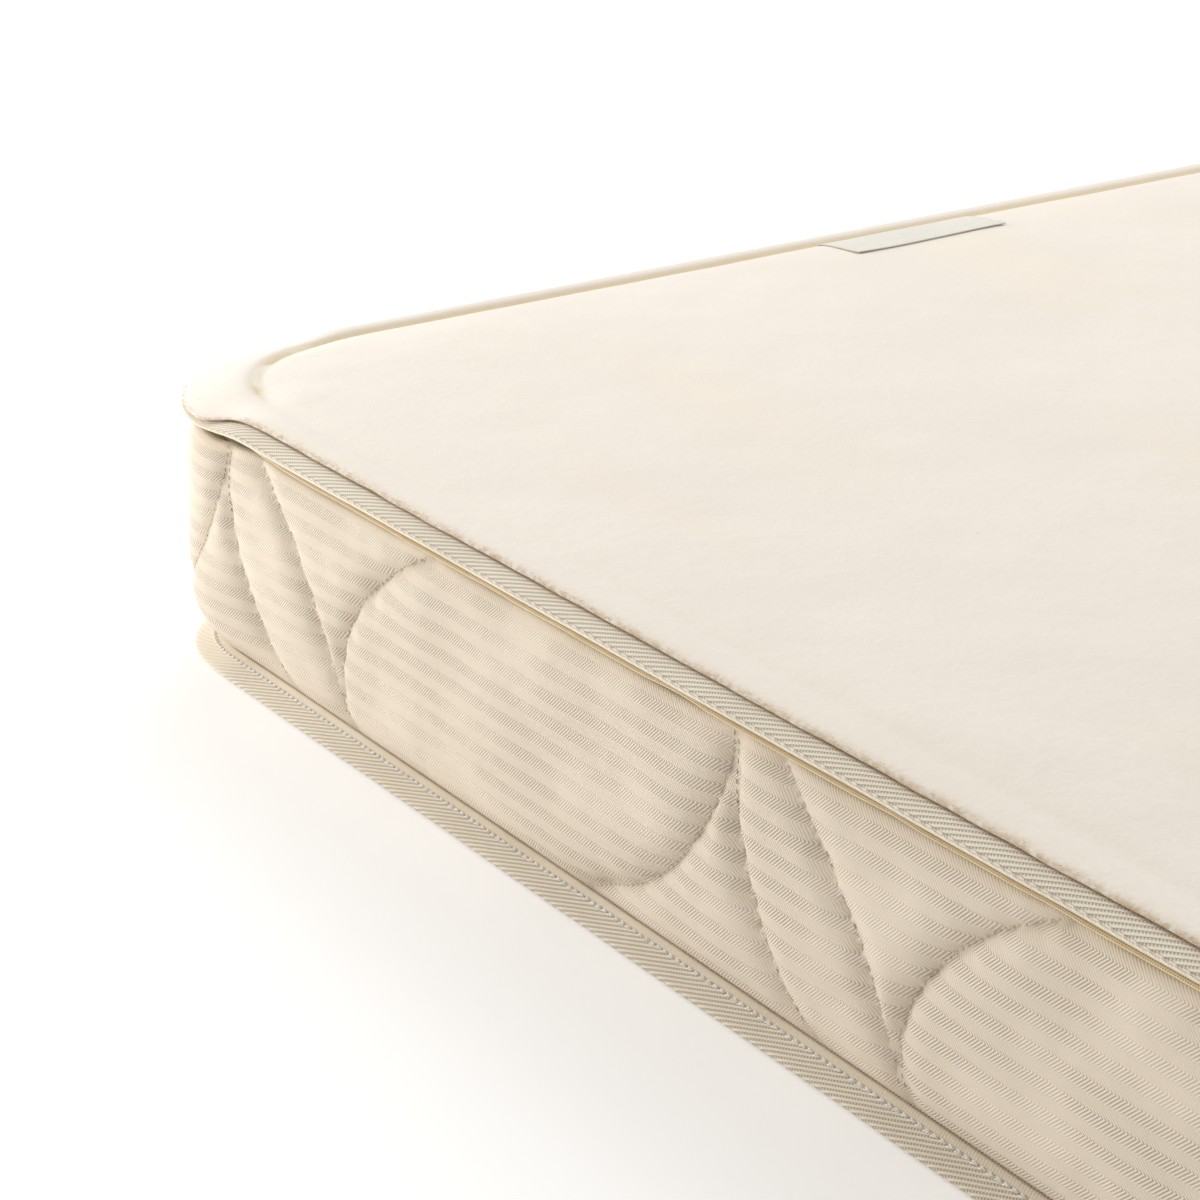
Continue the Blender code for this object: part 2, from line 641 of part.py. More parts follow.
def build_labels():
    """Woven label on the sleeping face and care label in the bottom seam."""
    lift = offset_path(panel_levels(), -GAP)
    inner = LABEL_INSET + LABEL_WIDTH
    path = clip_path(lift, LABEL_INSET, inner)
    outline = [(-LENGTH / 2 + inset, height) for inset, height in band(path, -LABEL_CLOTH)]
    curve = poly_curve("woven_label", outline, True, "2D")
    curve.fill_mode = "BOTH"
    curve.extrude = LABEL_LENGTH / 2
    label = add_part("woven_label", curve, "satin_label")
    label.rotation_euler.x = math.pi / 2
    foot, half = puff_span()
    turn = (CARE_LABEL_END - CARE_LABEL_START) / CARE_LABEL_STEPS
    angles = [CARE_LABEL_START + turn * step for step in range(CARE_LABEL_STEPS + 1)]
    path = offset_path([puff_point(angle, foot, half) for angle in angles], -2 * GAP)
    crosswise("care_label", band(path, -LABEL_CLOTH), CARE_LABEL_WIDTH, CARE_LABEL_PLACE, "satin_label")


def clip_path(path, low, high):
    """Keep the stretch of a path between two insets."""
    kept = [height_at(path, low)]
    kept += [point for point in path if low < point[0] < high]
    kept.append(height_at(path, high))
    return kept


def height_at(path, inset):
    """Point of a path at an inset."""
    for (start, low), (end, high) in zip(path, path[1:]):
        if start <= inset <= end:
            return (inset, low + (high - low) * (inset - start) / (end - start))
    return path[-1]


def group_cover():
    """Hang the cover's pieces on one empty, which lifts off along Z."""
    lift = bpy.data.objects.new("cover_lift", None)
    PARTS.objects.link(lift)
    for name in COVER_PIECES:
        hang_on(bpy.data.objects[name], lift)


PARTS, GUIDES = clear_scene()
build_top_cover()
build_border()
build_underside()
build_core()
build_zip_chain()
build_zip_ends()
build_labels()
build_pull(build_slider())
group_cover()
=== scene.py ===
"""A tape-edged cot mattress with a zip-off quilted cover, modelled in cloth and dressed for a studio camera.

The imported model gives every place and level. The classes below make the soft pieces round it: the
brushed top, the twill tapes, the quilted border, the zip and the layers inside. Three functions at the
end join each piece to its body, and main() calls them in order.
"""

import logging
import math
from dataclasses import dataclass, field
from enum import Enum
from typing import Callable, Dict, List, Optional, Sequence, Tuple

import bmesh
import bpy
import numpy as np
from mathutils import Euler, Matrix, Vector
from mathutils.kdtree import KDTree


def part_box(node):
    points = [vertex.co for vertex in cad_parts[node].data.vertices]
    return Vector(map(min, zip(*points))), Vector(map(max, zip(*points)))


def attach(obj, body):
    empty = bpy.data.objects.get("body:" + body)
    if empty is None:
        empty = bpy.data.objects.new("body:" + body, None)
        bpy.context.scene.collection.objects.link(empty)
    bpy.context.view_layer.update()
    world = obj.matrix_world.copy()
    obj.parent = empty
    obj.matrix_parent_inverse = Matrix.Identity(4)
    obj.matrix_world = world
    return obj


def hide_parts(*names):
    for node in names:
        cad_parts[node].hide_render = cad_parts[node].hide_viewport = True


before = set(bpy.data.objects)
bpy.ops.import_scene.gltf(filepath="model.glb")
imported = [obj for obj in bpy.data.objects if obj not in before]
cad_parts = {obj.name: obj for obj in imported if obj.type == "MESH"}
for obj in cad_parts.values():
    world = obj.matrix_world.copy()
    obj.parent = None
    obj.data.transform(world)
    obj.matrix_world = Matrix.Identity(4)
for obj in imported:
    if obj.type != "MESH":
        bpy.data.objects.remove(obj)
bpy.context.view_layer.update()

LOG = logging.getLogger("mattress")
MM = 0.001
TURN = 2.0 * math.pi

Colour = Tuple[float, float, float]
Point = Tuple[float, float, float]
Socket = bpy.types.NodeSocket
Piece = bpy.types.Object
Array = np.ndarray


class Body(str, Enum):
    """The bodies that pieces ride on."""

    BASE = "base"
    COVER = "cover"
    SLIDER = "slider"
    PULL = "pull"


class Slot(str, Enum):
    """The record's material slots."""

    BRUSHED_COTTON = "brushed_cotton"
    TWILL_TAPE = "twill_tape"
    TICKING = "ticking"
    CALICO = "calico"
    WADDING = "wadding"
    WOOL = "wool"
    LATEX = "latex"
    COIR = "coir"
    NYLON = "nylon"
    NICKEL = "nickel"
    SATIN_LABEL = "satin_label"


# Materials


class Graph:
    """Lays out and wires the nodes of one material."""

    def __init__(self, name: str) -> None:
        """Start a material with its Principled shader."""
        self.material = bpy.data.materials.new(name)
        self.material.use_nodes = True
        self.tree = self.material.node_tree
        self.shader = self.tree.nodes["Principled BSDF"]
        self.coordinates = self.tree.nodes.new("ShaderNodeTexCoord")

    def fill(self, socket: Socket, value: object) -> None:
        """Link or set one input socket."""
        if isinstance(value, bpy.types.NodeSocket):
            self.tree.links.new(value, socket)
        elif isinstance(value, tuple) and len(value) == 3 and socket.type == "RGBA":
            socket.default_value = (*value, 1.0)
        else:
            socket.default_value = value

    def node(self, kind: str, inputs: Dict[object, object], **settings: object) -> bpy.types.Node:
        """Add a node.

        Args:
            kind: The node's Blender type.
            inputs: Values or sockets by input name or number.
            settings: The node's own properties.

        Returns:
            The new node.
        """
        node = self.tree.nodes.new(kind)
        for key, value in settings.items():
            setattr(node, key, value)
        for key, value in inputs.items():
            self.fill(node.inputs[key], value)
        return node

    def math(self, operation: str, *values: object) -> Socket:
        """Return the result of a Math node on up to three values."""
        return self.node("ShaderNodeMath", dict(enumerate(values)), operation=operation).outputs[0]

    def span(self, value: Socket, low: float, high: float, start: float = 0.0, end: float = 1.0) -> Socket:
        """Return value moved smoothly from the range low..high to start..end."""
        inputs = {0: value, 1: low, 2: high, 3: start, 4: end}
        return self.node("ShaderNodeMapRange", inputs, interpolation_type="SMOOTHSTEP").outputs[0]

    def mix(self, share: object, first: object, second: object) -> Socket:
        """Return a mix of two colours."""
        inputs = {0: share, 6: first, 7: second}
        return self.node("ShaderNodeMix", inputs, data_type="RGBA").outputs[2]

    def noise(self, scale: float, detail: float = 3.0, at: Optional[Socket] = None) -> Socket:
        """Return a noise value with features of 1 / scale metres."""
        where = at or self.coordinates.outputs["Object"]
        return self.node("ShaderNodeTexNoise", {"Vector": where, "Scale": scale, "Detail": detail}).outputs[0]

    def cells(self, scale: float, output: str = "Distance") -> Socket:
        """Return a Voronoi value with cells of 1 / scale metres."""
        inputs = {"Vector": self.coordinates.outputs["Object"], "Scale": scale}
        return self.node("ShaderNodeTexVoronoi", inputs).outputs[output]

    def weave_axes(self) -> Tuple[Socket, Socket]:
        """Return the piece's own run and rise, in metres, from its UV map."""
        split = self.node("ShaderNodeSeparateXYZ", {0: self.coordinates.outputs["UV"]})
        return split.outputs[0], split.outputs[1]

    def attribute(self, name: str) -> Socket:
        """Return a number stored on the piece's points."""
        return self.node("ShaderNodeAttribute", {}, attribute_name=name).outputs["Fac"]

    def wave(self, distance: Socket, pitch: float) -> Socket:
        """Return 0..1 ridges, one for each pitch of distance."""
        turned = self.math("MULTIPLY", distance, TURN / pitch)
        return self.math("MULTIPLY_ADD", self.math("SINE", turned), 0.5, 0.5)

    def bump(self, height: Socket, depth: float, under: Optional[Socket] = None) -> Socket:
        """Return a normal that raises height by depth metres over another normal."""
        inputs: Dict[object, object] = {"Height": height, "Distance": depth, "Strength": 1.0}
        if under is not None:
            inputs["Normal"] = under
        return self.node("ShaderNodeBump", inputs).outputs[0]

    def finish(self, colour: object, roughness: object, normal: Optional[Socket] = None,
               sheen: float = 0.0, metallic: float = 0.0) -> bpy.types.Material:
        """Wire the shader and return the material."""
        self.fill(self.shader.inputs["Base Color"], colour)
        self.fill(self.shader.inputs["Roughness"], roughness)
        self.shader.inputs["Metallic"].default_value = metallic
        self.shader.inputs["Sheen Weight"].default_value = sheen
        self.shader.inputs["Sheen Roughness"].default_value = 0.6
        if normal is not None:
            self.fill(self.shader.inputs["Normal"], normal)
        return self.material


def shade(colour: Colour, share: float) -> Colour:
    """Return a colour darkened towards its own warm shade."""
    return tuple(part * share ** power for part, power in zip(colour, (1.0, 1.12, 1.35)))


@dataclass(frozen=True)
class BrushedCotton:
    """Raised cotton with a short nap and seed flecks, with painted shade in the pressed crease, and browner
    fibres with painted shade along its cut lip.
    """

    colour: Colour = (0.870, 0.800, 0.705)
    streak_colour: Colour = (0.868, 0.785, 0.655)
    lip_fuzz_and_shade_colour: Colour = (0.58, 0.425, 0.255)
    crease_shade_colour: Colour = (0.80, 0.635, 0.37)
    nap_scale: float = 620.0
    fleck_scale: float = 52.0

    def material(self) -> bpy.types.Material:
        """Build the material."""
        graph = Graph("brushed_cotton")
        cloud = graph.noise(9.0, 4.0)
        mottle = graph.noise(170.0, 4.0)
        nap = graph.noise(self.nap_scale, 5.0)
        drawn = graph.node("ShaderNodeMapping", {0: graph.coordinates.outputs["Object"], 3: (0.6, 2.2, 1.0)})
        streak = graph.span(graph.noise(7.0, 3.0, drawn.outputs[0]), 0.52, 0.72, 0.0, 0.75)
        colour = graph.mix(graph.span(cloud, 0.35, 0.68), self.colour, shade(self.colour, 0.965))
        colour = graph.mix(streak, colour, self.streak_colour)
        colour = graph.mix(graph.span(mottle, 0.38, 0.70, 0.0, 0.4), colour, shade(self.colour, 0.96))
        colour = graph.mix(graph.span(nap, 0.42, 0.75, 0.0, 0.4), colour, shade(self.colour, 0.93))
        fleck = graph.span(graph.cells(self.fleck_scale), 0.026, 0.010)
        rare = graph.math("GREATER_THAN", graph.noise(14.0, 1.0), 0.57)
        colour = graph.mix(graph.math("MULTIPLY", fleck, rare), colour, shade(self.colour, 0.60))
        # Painted shade in the pressed crease: a golden-brown darkening laid over the crease mark.
        colour = graph.mix(graph.math("MULTIPLY", graph.attribute("crease"), 0.9), colour, self.crease_shade_colour)
        tufts = graph.span(graph.noise(420.0, 3.0), 0.30, 0.66, 0.15, 0.9)
        # Along the cut lip: browner fibres mixed with painted shade where the lip meets the tape, broken into
        # tufts.
        colour = graph.mix(graph.math("MULTIPLY", graph.attribute("lip"), tufts), colour, self.lip_fuzz_and_shade_colour)
        height = graph.math("MULTIPLY_ADD", mottle, 1.6, nap)
        normal = graph.bump(height, 0.00012)
        return graph.finish(colour, 1.0, normal, sheen=0.25)


@dataclass(frozen=True)
class TwillTape:
    """Herringbone cotton tape: bold slanted ribs that turn at its middle line, with fine yarns along them,
    and painted shade along its inner seam where the cloth above overhangs it.
    """

    name: str
    colour: Colour = (0.880, 0.795, 0.655)
    groove: Colour = (0.350, 0.275, 0.190)
    pitch: float = 0.00425
    lean: float = 2.2
    crest: float = 0.66
    plain_under: float = 0.70
    # seam: the colour of the painted shade along the tape's inner seam.
    seam: Colour = (0.330, 0.215, 0.115)

    def material(self) -> bpy.types.Material:
        """Build the material."""
        graph = Graph(self.name)
        run, across = graph.weave_axes()
        wobble = graph.math("MULTIPLY", graph.noise(60.0, 2.0), 0.0010)
        along = graph.math("SUBTRACT", graph.math("ADD", run, wobble),
                           graph.math("MULTIPLY", graph.math("ABSOLUTE", across), self.lean))
        rib = graph.wave(along, self.pitch)
        body = graph.span(rib, 0.04, self.crest)
        yarn = graph.wave(graph.math("MULTIPLY_ADD", across, 0.55, run), 0.00105)
        fibre = graph.noise(1500.0, 3.0)
        plain = graph.attribute("plain")
        under = graph.span(across, 0.0001, -0.0003, 0.0, self.plain_under)
        body = graph.math("MAXIMUM", body, graph.math("MAXIMUM", plain, under))
        dotted = graph.math("MULTIPLY", graph.span(yarn, 0.25, 0.75, 0.30, 1.0),
                            graph.math("SUBTRACT", 1.0, body))
        chain_line = graph.math("COMPARE", graph.math("ABSOLUTE", graph.math("ADD", across, 0.00015)),
                                0.00038, 0.00010)
        chain_line = graph.math("MULTIPLY", chain_line,
                                graph.span(graph.wave(run, 0.0021), 0.1, 0.5, 0.35, 0.8))
        chain_line = graph.math("MULTIPLY", chain_line, graph.math("SUBTRACT", 1.0, plain))
        colour = graph.mix(graph.span(graph.noise(25.0, 3.0), 0.3, 0.7), self.colour,
                           shade(self.colour, 0.93))
        colour = graph.mix(graph.math("MULTIPLY", dotted, 0.88), colour, self.groove)
        colour = graph.mix(chain_line, colour, self.groove)
        colour = graph.mix(graph.span(fibre, 0.5, 0.8, 0.0, 0.35), colour, shade(self.colour, 0.82))
        # Painted shade along the inner seam, laid by the seam mark.
        colour = graph.mix(graph.attribute("seam"), colour, self.seam)
        height = graph.math("MULTIPLY_ADD", yarn, 0.16, body)
        height = graph.math("MULTIPLY_ADD", fibre, 0.25, height)
        return graph.finish(colour, 0.92, graph.bump(height, 0.00032), sheen=0.12)


@dataclass(frozen=True)
class Ticking:
    """Fine herringbone ticking, in bands along the border that lean one way and then the other, with painted
    shade along the quilting lines and the lower seam.
    """

    colour: Colour = (0.895, 0.785, 0.648)
    band: float = 0.0041
    pitch: float = 0.00124

    def material(self) -> bpy.types.Material:
        """Build the material."""
        graph = Graph("ticking")
        run, rise = graph.weave_axes()
        drift = graph.math("MULTIPLY", graph.noise(30.0, 2.0), 0.0012)
        zigzag = graph.math("PINGPONG", graph.math("ADD", rise, drift), self.band)
        rib = graph.wave(graph.math("SUBTRACT", run, zigzag), self.pitch)
        parity = graph.math("PINGPONG", graph.math("FLOOR", graph.math("DIVIDE", rise, self.band)), 1.0)
        strength = graph.math("MULTIPLY_ADD", parity, -0.62, 1.0)
        patch = graph.span(graph.noise(26.0, 3.0), 0.30, 0.60, 0.55, 1.0)
        line = graph.math("MULTIPLY", graph.span(rib, 0.78, 0.12), graph.math("MULTIPLY", strength, patch))
        fibre = graph.noise(1300.0, 3.0)
        colour = graph.mix(graph.span(graph.noise(20.0, 4.0), 0.3, 0.7), self.colour,
                           shade(self.colour, 0.97))
        even = graph.math("MULTIPLY_ADD", graph.math("SUBTRACT", 1.0, strength), 0.42, line)
        colour = graph.mix(graph.math("MULTIPLY", even, 0.74), colour, shade(self.colour, 0.42))
        colour = graph.mix(graph.span(fibre, 0.52, 0.8, 0.0, 0.30), colour, shade(self.colour, 0.84))
        # Painted shade along the quilting lines and the lower seam, laid by the seam mark.
        colour = graph.mix(graph.attribute("seam"), colour, shade(self.colour, 0.40))
        height = graph.math("SUBTRACT", graph.math("MULTIPLY", fibre, 0.35), line)
        return graph.finish(colour, 0.88, graph.bump(height, 0.00026), sheen=0.10)


@dataclass(frozen=True)
class PlainWeave:
    """A plain woven cloth: warp and weft yarns with slubs."""

    name: str
    colour: Colour
    pitch: float = 0.0009
    depth: float = 0.00016
    roughness: float = 0.92
    sheen: float = 0.08

    def material(self) -> bpy.types.Material:
        """Build the material."""
        graph = Graph(self.name)
        run, rise = graph.weave_axes()
        warp, weft = graph.wave(run, self.pitch), graph.wave(rise, self.pitch)
        over = graph.math("MAXIMUM", warp, weft)
        pit = graph.math("SUBTRACT", 1.0, over)
        slub = graph.noise(220.0, 3.0)
        fibre = graph.noise(1600.0, 3.0)
        colour = graph.mix(graph.span(graph.noise(18.0, 4.0), 0.3, 0.7), self.colour,
                           shade(self.colour, 0.92))
        colour = graph.mix(graph.span(slub, 0.5, 0.75, 0.0, 0.4), colour, shade(self.colour, 0.82))
        colour = graph.mix(graph.math("MULTIPLY", pit, 0.9), colour, shade(self.colour, 0.45))
        height = graph.math("MULTIPLY_ADD", slub, 0.5, graph.math("MULTIPLY_ADD", fibre, 0.3, over))
        return graph.finish(colour, self.roughness, graph.bump(height, self.depth), sheen=self.sheen)


@dataclass(frozen=True)
class Fleece:
    """Loose fibre, as in wool and cotton wadding: soft lumps with crossing fibres."""

    name: str
    colour: Colour
    lump: float = 55.0
    fibre: float = 420.0
    depth: float = 0.0011

    def material(self) -> bpy.types.Material:
        """Build the material."""
        graph = Graph(self.name)
        lumps = graph.noise(self.lump, 5.0)
        drawn = graph.node("ShaderNodeMapping", {0: graph.coordinates.outputs["Object"], 3: (1.0, 0.28, 1.0)})
        strands = graph.noise(self.fibre, 5.0, drawn.outputs[0])
        crossing = graph.node("ShaderNodeMapping", {0: graph.coordinates.outputs["Object"],
                                                    3: (0.3, 1.0, 1.0), 2: (0.0, 0.0, 0.5)})
        strands = graph.math("MAXIMUM", strands, graph.noise(self.fibre, 5.0, crossing.outputs[0]))
        colour = graph.mix(graph.span(lumps, 0.3, 0.7), shade(self.colour, 0.86), self.colour)
        colour = graph.mix(graph.span(strands, 0.5, 0.75, 0.0, 0.6), shade(self.colour, 0.72), colour)
        height = graph.math("MULTIPLY_ADD", lumps, 1.5, strands)
        return graph.finish(colour, 1.0, graph.bump(height, self.depth), sheen=0.35)


@dataclass(frozen=True)
class Latex:
    """Foamed latex: matt cream rubber with moulded pin holes and fine cells."""

    colour: Colour = (0.890, 0.830, 0.640)
    hole_pitch: float = 0.022
    hole_radius: float = 0.0026

    def material(self) -> bpy.types.Material:
        """Build the material."""
        graph = Graph("latex")
        split = graph.node("ShaderNodeSeparateXYZ", {0: graph.coordinates.outputs["Object"]})
        offsets = [graph.math("PINGPONG", split.outputs[axis], self.hole_pitch / 2) for axis in (0, 1)]
        radius = graph.math("SQRT", graph.math("ADD", graph.math("POWER", offsets[0], 2.0),
                                               graph.math("POWER", offsets[1], 2.0)))
        hole = graph.span(radius, self.hole_radius, self.hole_radius * 0.7)
        cells = graph.noise(900.0, 4.0)
        colour = graph.mix(graph.span(graph.noise(30.0, 3.0), 0.3, 0.7), self.colour,
                           shade(self.colour, 0.93))
        colour = graph.mix(graph.span(cells, 0.55, 0.75, 0.0, 0.5), colour, shade(self.colour, 0.75))
        colour = graph.mix(hole, colour, shade(self.colour, 0.30))
        height = graph.math("SUBTRACT", graph.math("MULTIPLY", cells, 0.12), hole)
        return graph.finish(colour, 0.62, graph.bump(height, 0.0012), sheen=0.05)


@dataclass(frozen=True)
class Coir:
    """Rubberised coconut fibre: a springy tangle of brown strands."""

    light: Colour = (0.46, 0.27, 0.12)
    dark: Colour = (0.10, 0.050, 0.022)

    def material(self) -> bpy.types.Material:
        """Build the material."""
        graph = Graph("coir")
        heights = []
        for turn, scale in ((0.3, 240.0), (1.4, 300.0), (2.4, 260.0)):
            swirl = graph.node("ShaderNodeTexNoise", {"Vector": graph.coordinates.outputs["Object"],
                                                      "Scale": 22.0, "Detail": 2.0}).outputs[1]
            bent = graph.node("ShaderNodeMix", {0: 0.04, 4: graph.coordinates.outputs["Object"], 5: swirl},
                              data_type="VECTOR").outputs[1]
            drawn = graph.node("ShaderNodeMapping", {0: bent, 2: (turn, turn * 0.7, turn),
                                                     3: (1.0, 0.10, 1.0)})
            heights.append(graph.noise(scale, 2.0, drawn.outputs[0]))
        tangle = graph.math("MAXIMUM", graph.math("MAXIMUM", heights[0], heights[1]), heights[2])
        colour = graph.mix(graph.span(tangle, 0.52, 0.74), self.dark, self.light)
        colour = graph.mix(graph.span(graph.noise(35.0, 3.0), 0.35, 0.7, 0.0, 0.4), colour,
                           shade(self.light, 1.5))
        return graph.finish(colour, 0.85, graph.bump(tangle, 0.0030))


@dataclass(frozen=True)
class Nickel:
    """Nickel plate with fine scratches, dull where it is handled."""

    colour: Colour = (0.70, 0.68, 0.64)

    def material(self) -> bpy.types.Material:
        """Build the material."""
        graph = Graph("nickel")
        drawn = graph.node("ShaderNodeMapping", {0: graph.coordinates.outputs["Object"],
                                                 3: (1.0, 0.08, 0.08)})
        scratches = graph.noise(9000.0, 2.0, drawn.outputs[0])
        wear = graph.noise(700.0, 3.0)
        colour = graph.mix(graph.span(wear, 0.45, 0.75, 0.0, 0.5), self.colour, shade(self.colour, 0.72))
        roughness = graph.span(graph.math("MULTIPLY_ADD", scratches, 0.4, wear), 0.4, 1.1, 0.20, 0.46)
        return graph.finish(colour, roughness, graph.bump(scratches, 0.00002), metallic=1.0)


@dataclass(frozen=True)
class Nylon:
    """Moulded nylon, slightly milky, with a soft gloss."""

    colour: Colour = (0.80, 0.73, 0.58)

    def material(self) -> bpy.types.Material:
        """Build the material."""
        graph = Graph("nylon")
        grain = graph.noise(1800.0, 3.0)
        colour = graph.mix(graph.span(graph.noise(120.0, 2.0), 0.3, 0.7), self.colour,
                           shade(self.colour, 0.88))
        graph.shader.inputs["Subsurface Weight"].default_value = 0.08
        graph.shader.inputs["Subsurface Scale"].default_value = 0.001
        return graph.finish(colour, graph.span(grain, 0.3, 0.7, 0.32, 0.5), graph.bump(grain, 0.00003))


@dataclass(frozen=True)
class SewingThread:
    """Spun thread with a faint twist."""

    name: str
    colour: Colour

    def material(self) -> bpy.types.Material:
        """Build the material."""
        graph = Graph(self.name)
        twist = graph.noise(2600.0, 2.0)
        colour = graph.mix(graph.span(twist, 0.35, 0.7), self.colour, shade(self.colour, 0.66))
        return graph.finish(colour, 0.7, graph.bump(twist, 0.00003), sheen=0.15)


@dataclass(frozen=True)
class StudioFloor:
    """A pale seamless sweep."""

    colour: Colour = (0.93, 0.93, 0.93)
    glow: float = 0.17

    def material(self) -> bpy.types.Material:
        """Build the material."""
        graph = Graph("studio_floor")
        cloud = graph.noise(1.5, 2.0)
        colour = graph.mix(graph.span(cloud, 0.3, 0.7), self.colour, shade(self.colour, 0.995))
        graph.shader.inputs["Emission Color"].default_value = (1.0, 1.0, 1.0, 1.0)
        graph.shader.inputs["Emission Strength"].default_value = self.glow
        return graph.finish(colour, 0.9)


# Plan outline and mesh making


@dataclass(frozen=True)
class Stations:
    """Places along an outline: the centre each is swept from, its outward direction and its run."""

    centre: Array
    outward: Array
    run: Array
    length: float
    radius: float
    closed: bool = True

    def place(self, inset: Array, level: Array) -> Array:
        """Return points in space, one for each station, at an inset from the rim and a level."""
        reach = (self.radius - np.broadcast_to(inset, self.run.shape))[:, None]
        flat = self.centre + self.outward * reach
        return np.column_stack([flat, np.broadcast_to(level, self.run.shape)])

    def corner_share(self, soften: float) -> Array:
        """Return 1 in the rounded corners, easing to 0 along soften metres of the straight sides."""
        bend = np.abs(self.outward).min(axis=1) > 1e-4
        gap = np.full(self.run.shape, 1e3)
        for at in self.run[bend]:
            around = np.abs(self.run - at)
            gap = np.minimum(gap, np.minimum(around, self.length - around))
        share = np.clip(1.0 - gap / soften, 0.0, 1.0)
        return share * share * (3.0 - 2.0 * share)


@dataclass(frozen=True)
class Outline:
    """A rectangle with rounded corners, in plan. Its run is 0 where the near and left sides would meet."""

    half_length: float
    half_width: float
    radius: float

    def perimeter(self, inset: float = 0.0) -> float:
        """Return the length round the outline at an inset."""
        straight = 4.0 * (self.half_length + self.half_width - 2.0 * self.radius)
        return straight + TURN * (self.radius - inset)

    def stations(self, step: float, corner_steps: int, gap: float = 0.0) -> Stations:
        """Walk the outline anticlockwise from the middle of the far side.

        Args:
            step: Distance between stations on the straight sides.
            corner_steps: Steps in each corner.
            gap: Width left open at the middle of the far side, or 0 for a closed walk.

        Returns:
            The stations.
        """
        across, along = self.half_length - self.radius, self.half_width - self.radius
        corners = [(-across, along), (-across, -along), (across, -along), (across, along)]
        normals = [(0.0, 1.0), (-1.0, 0.0), (0.0, -1.0), (1.0, 0.0)]
        centres: List[Array] = []
        outwards: List[Array] = []

        def side(start: Tuple[float, float], end: Tuple[float, float], normal: Tuple[float, float]) -> None:
            """Add the stations of one straight side, both ends with it."""
            length = math.dist(start, end)
            count = max(1, round(length / step))
            for share in np.linspace(0.0, 1.0, count + 1):
                centres.append(np.array(start) * (1 - share) + np.array(end) * share)
                outwards.append(np.array(normal))

        def corner(centre: Tuple[float, float], start: float) -> None:
            """Add the stations inside one corner."""
            for number in range(1, corner_steps):
                angle = start + math.pi / 2 * number / corner_steps
                centres.append(np.array(centre))
                outwards.append(np.array((math.cos(angle), math.sin(angle))))

        side((-gap / 2, along), corners[0], normals[0])
        for number in range(4):
            corner(corners[number], math.pi / 2 * (number + 1))
            if number < 3:
                side(corners[number], corners[number + 1], normals[number + 1])
        side(corners[3], (gap / 2, along), normals[0])
        if not gap:
            centres.pop()
            outwards.pop()
        centre, outward = np.array(centres), np.array(outwards)
        rim = centre + outward * (self.radius - 0.0035)
        steps = np.linalg.norm(np.diff(np.vstack([rim, rim[:1]]), axis=0), axis=1)
        run = np.concatenate([[0.0], np.cumsum(steps)[:-1]])
        first = int(np.argmax((outward[:, 1] < -0.9999) & (np.abs(centre[:, 0] + across) < 1e-6)))
        run = run - run[first] + self.radius
        return Stations(centre, outward, run, float(steps.sum()), self.radius, not gap)


def signed_volume(points: Array, quads: Array) -> float:
    """Return a closed mesh's volume, negative if its faces look inward."""
    a, b, c, d = (points[quads[:, k]] for k in range(4))
    first, second = np.einsum("ij,ij->i", a, np.cross(b, c)), np.einsum("ij,ij->i", a, np.cross(c, d))
    return float((first + second).sum() / 6)


def make_piece(name: str, points: Array, faces: Sequence[Sequence[int]], finish: bpy.types.Material,
               uv: Optional[Array] = None, marks: Optional[Dict[str, Array]] = None,
               smooth: bool = True) -> Piece:
    """Make one mesh object.

    Args:
        name: The piece's name.
        points: Its points, in metres.
        faces: Its faces, by point number.
        finish: Its material.
        uv: Run and rise for each face corner, in face order.
        marks: Numbers for each point, by attribute name.
        smooth: Whether it is shaded smooth.

    Returns:
        The new object.
    """
    mesh = bpy.data.meshes.new(name)
    mesh.from_pydata(points.tolist(), [], [list(map(int, face)) for face in faces])
    if uv is not None:
        mesh.uv_layers.new(name="weave").data.foreach_set("uv", np.asarray(uv, np.float32).ravel())
    for mark, values in (marks or {}).items():
        mesh.attributes.new(mark, "FLOAT", "POINT").data.foreach_set("value", np.asarray(values, np.float32))
    mesh.polygons.foreach_set("use_smooth", [smooth] * len(mesh.polygons))
    mesh.materials.append(finish)
    mesh.update()
    piece = bpy.data.objects.new(name, mesh)
    bpy.context.scene.collection.objects.link(piece)
    return piece


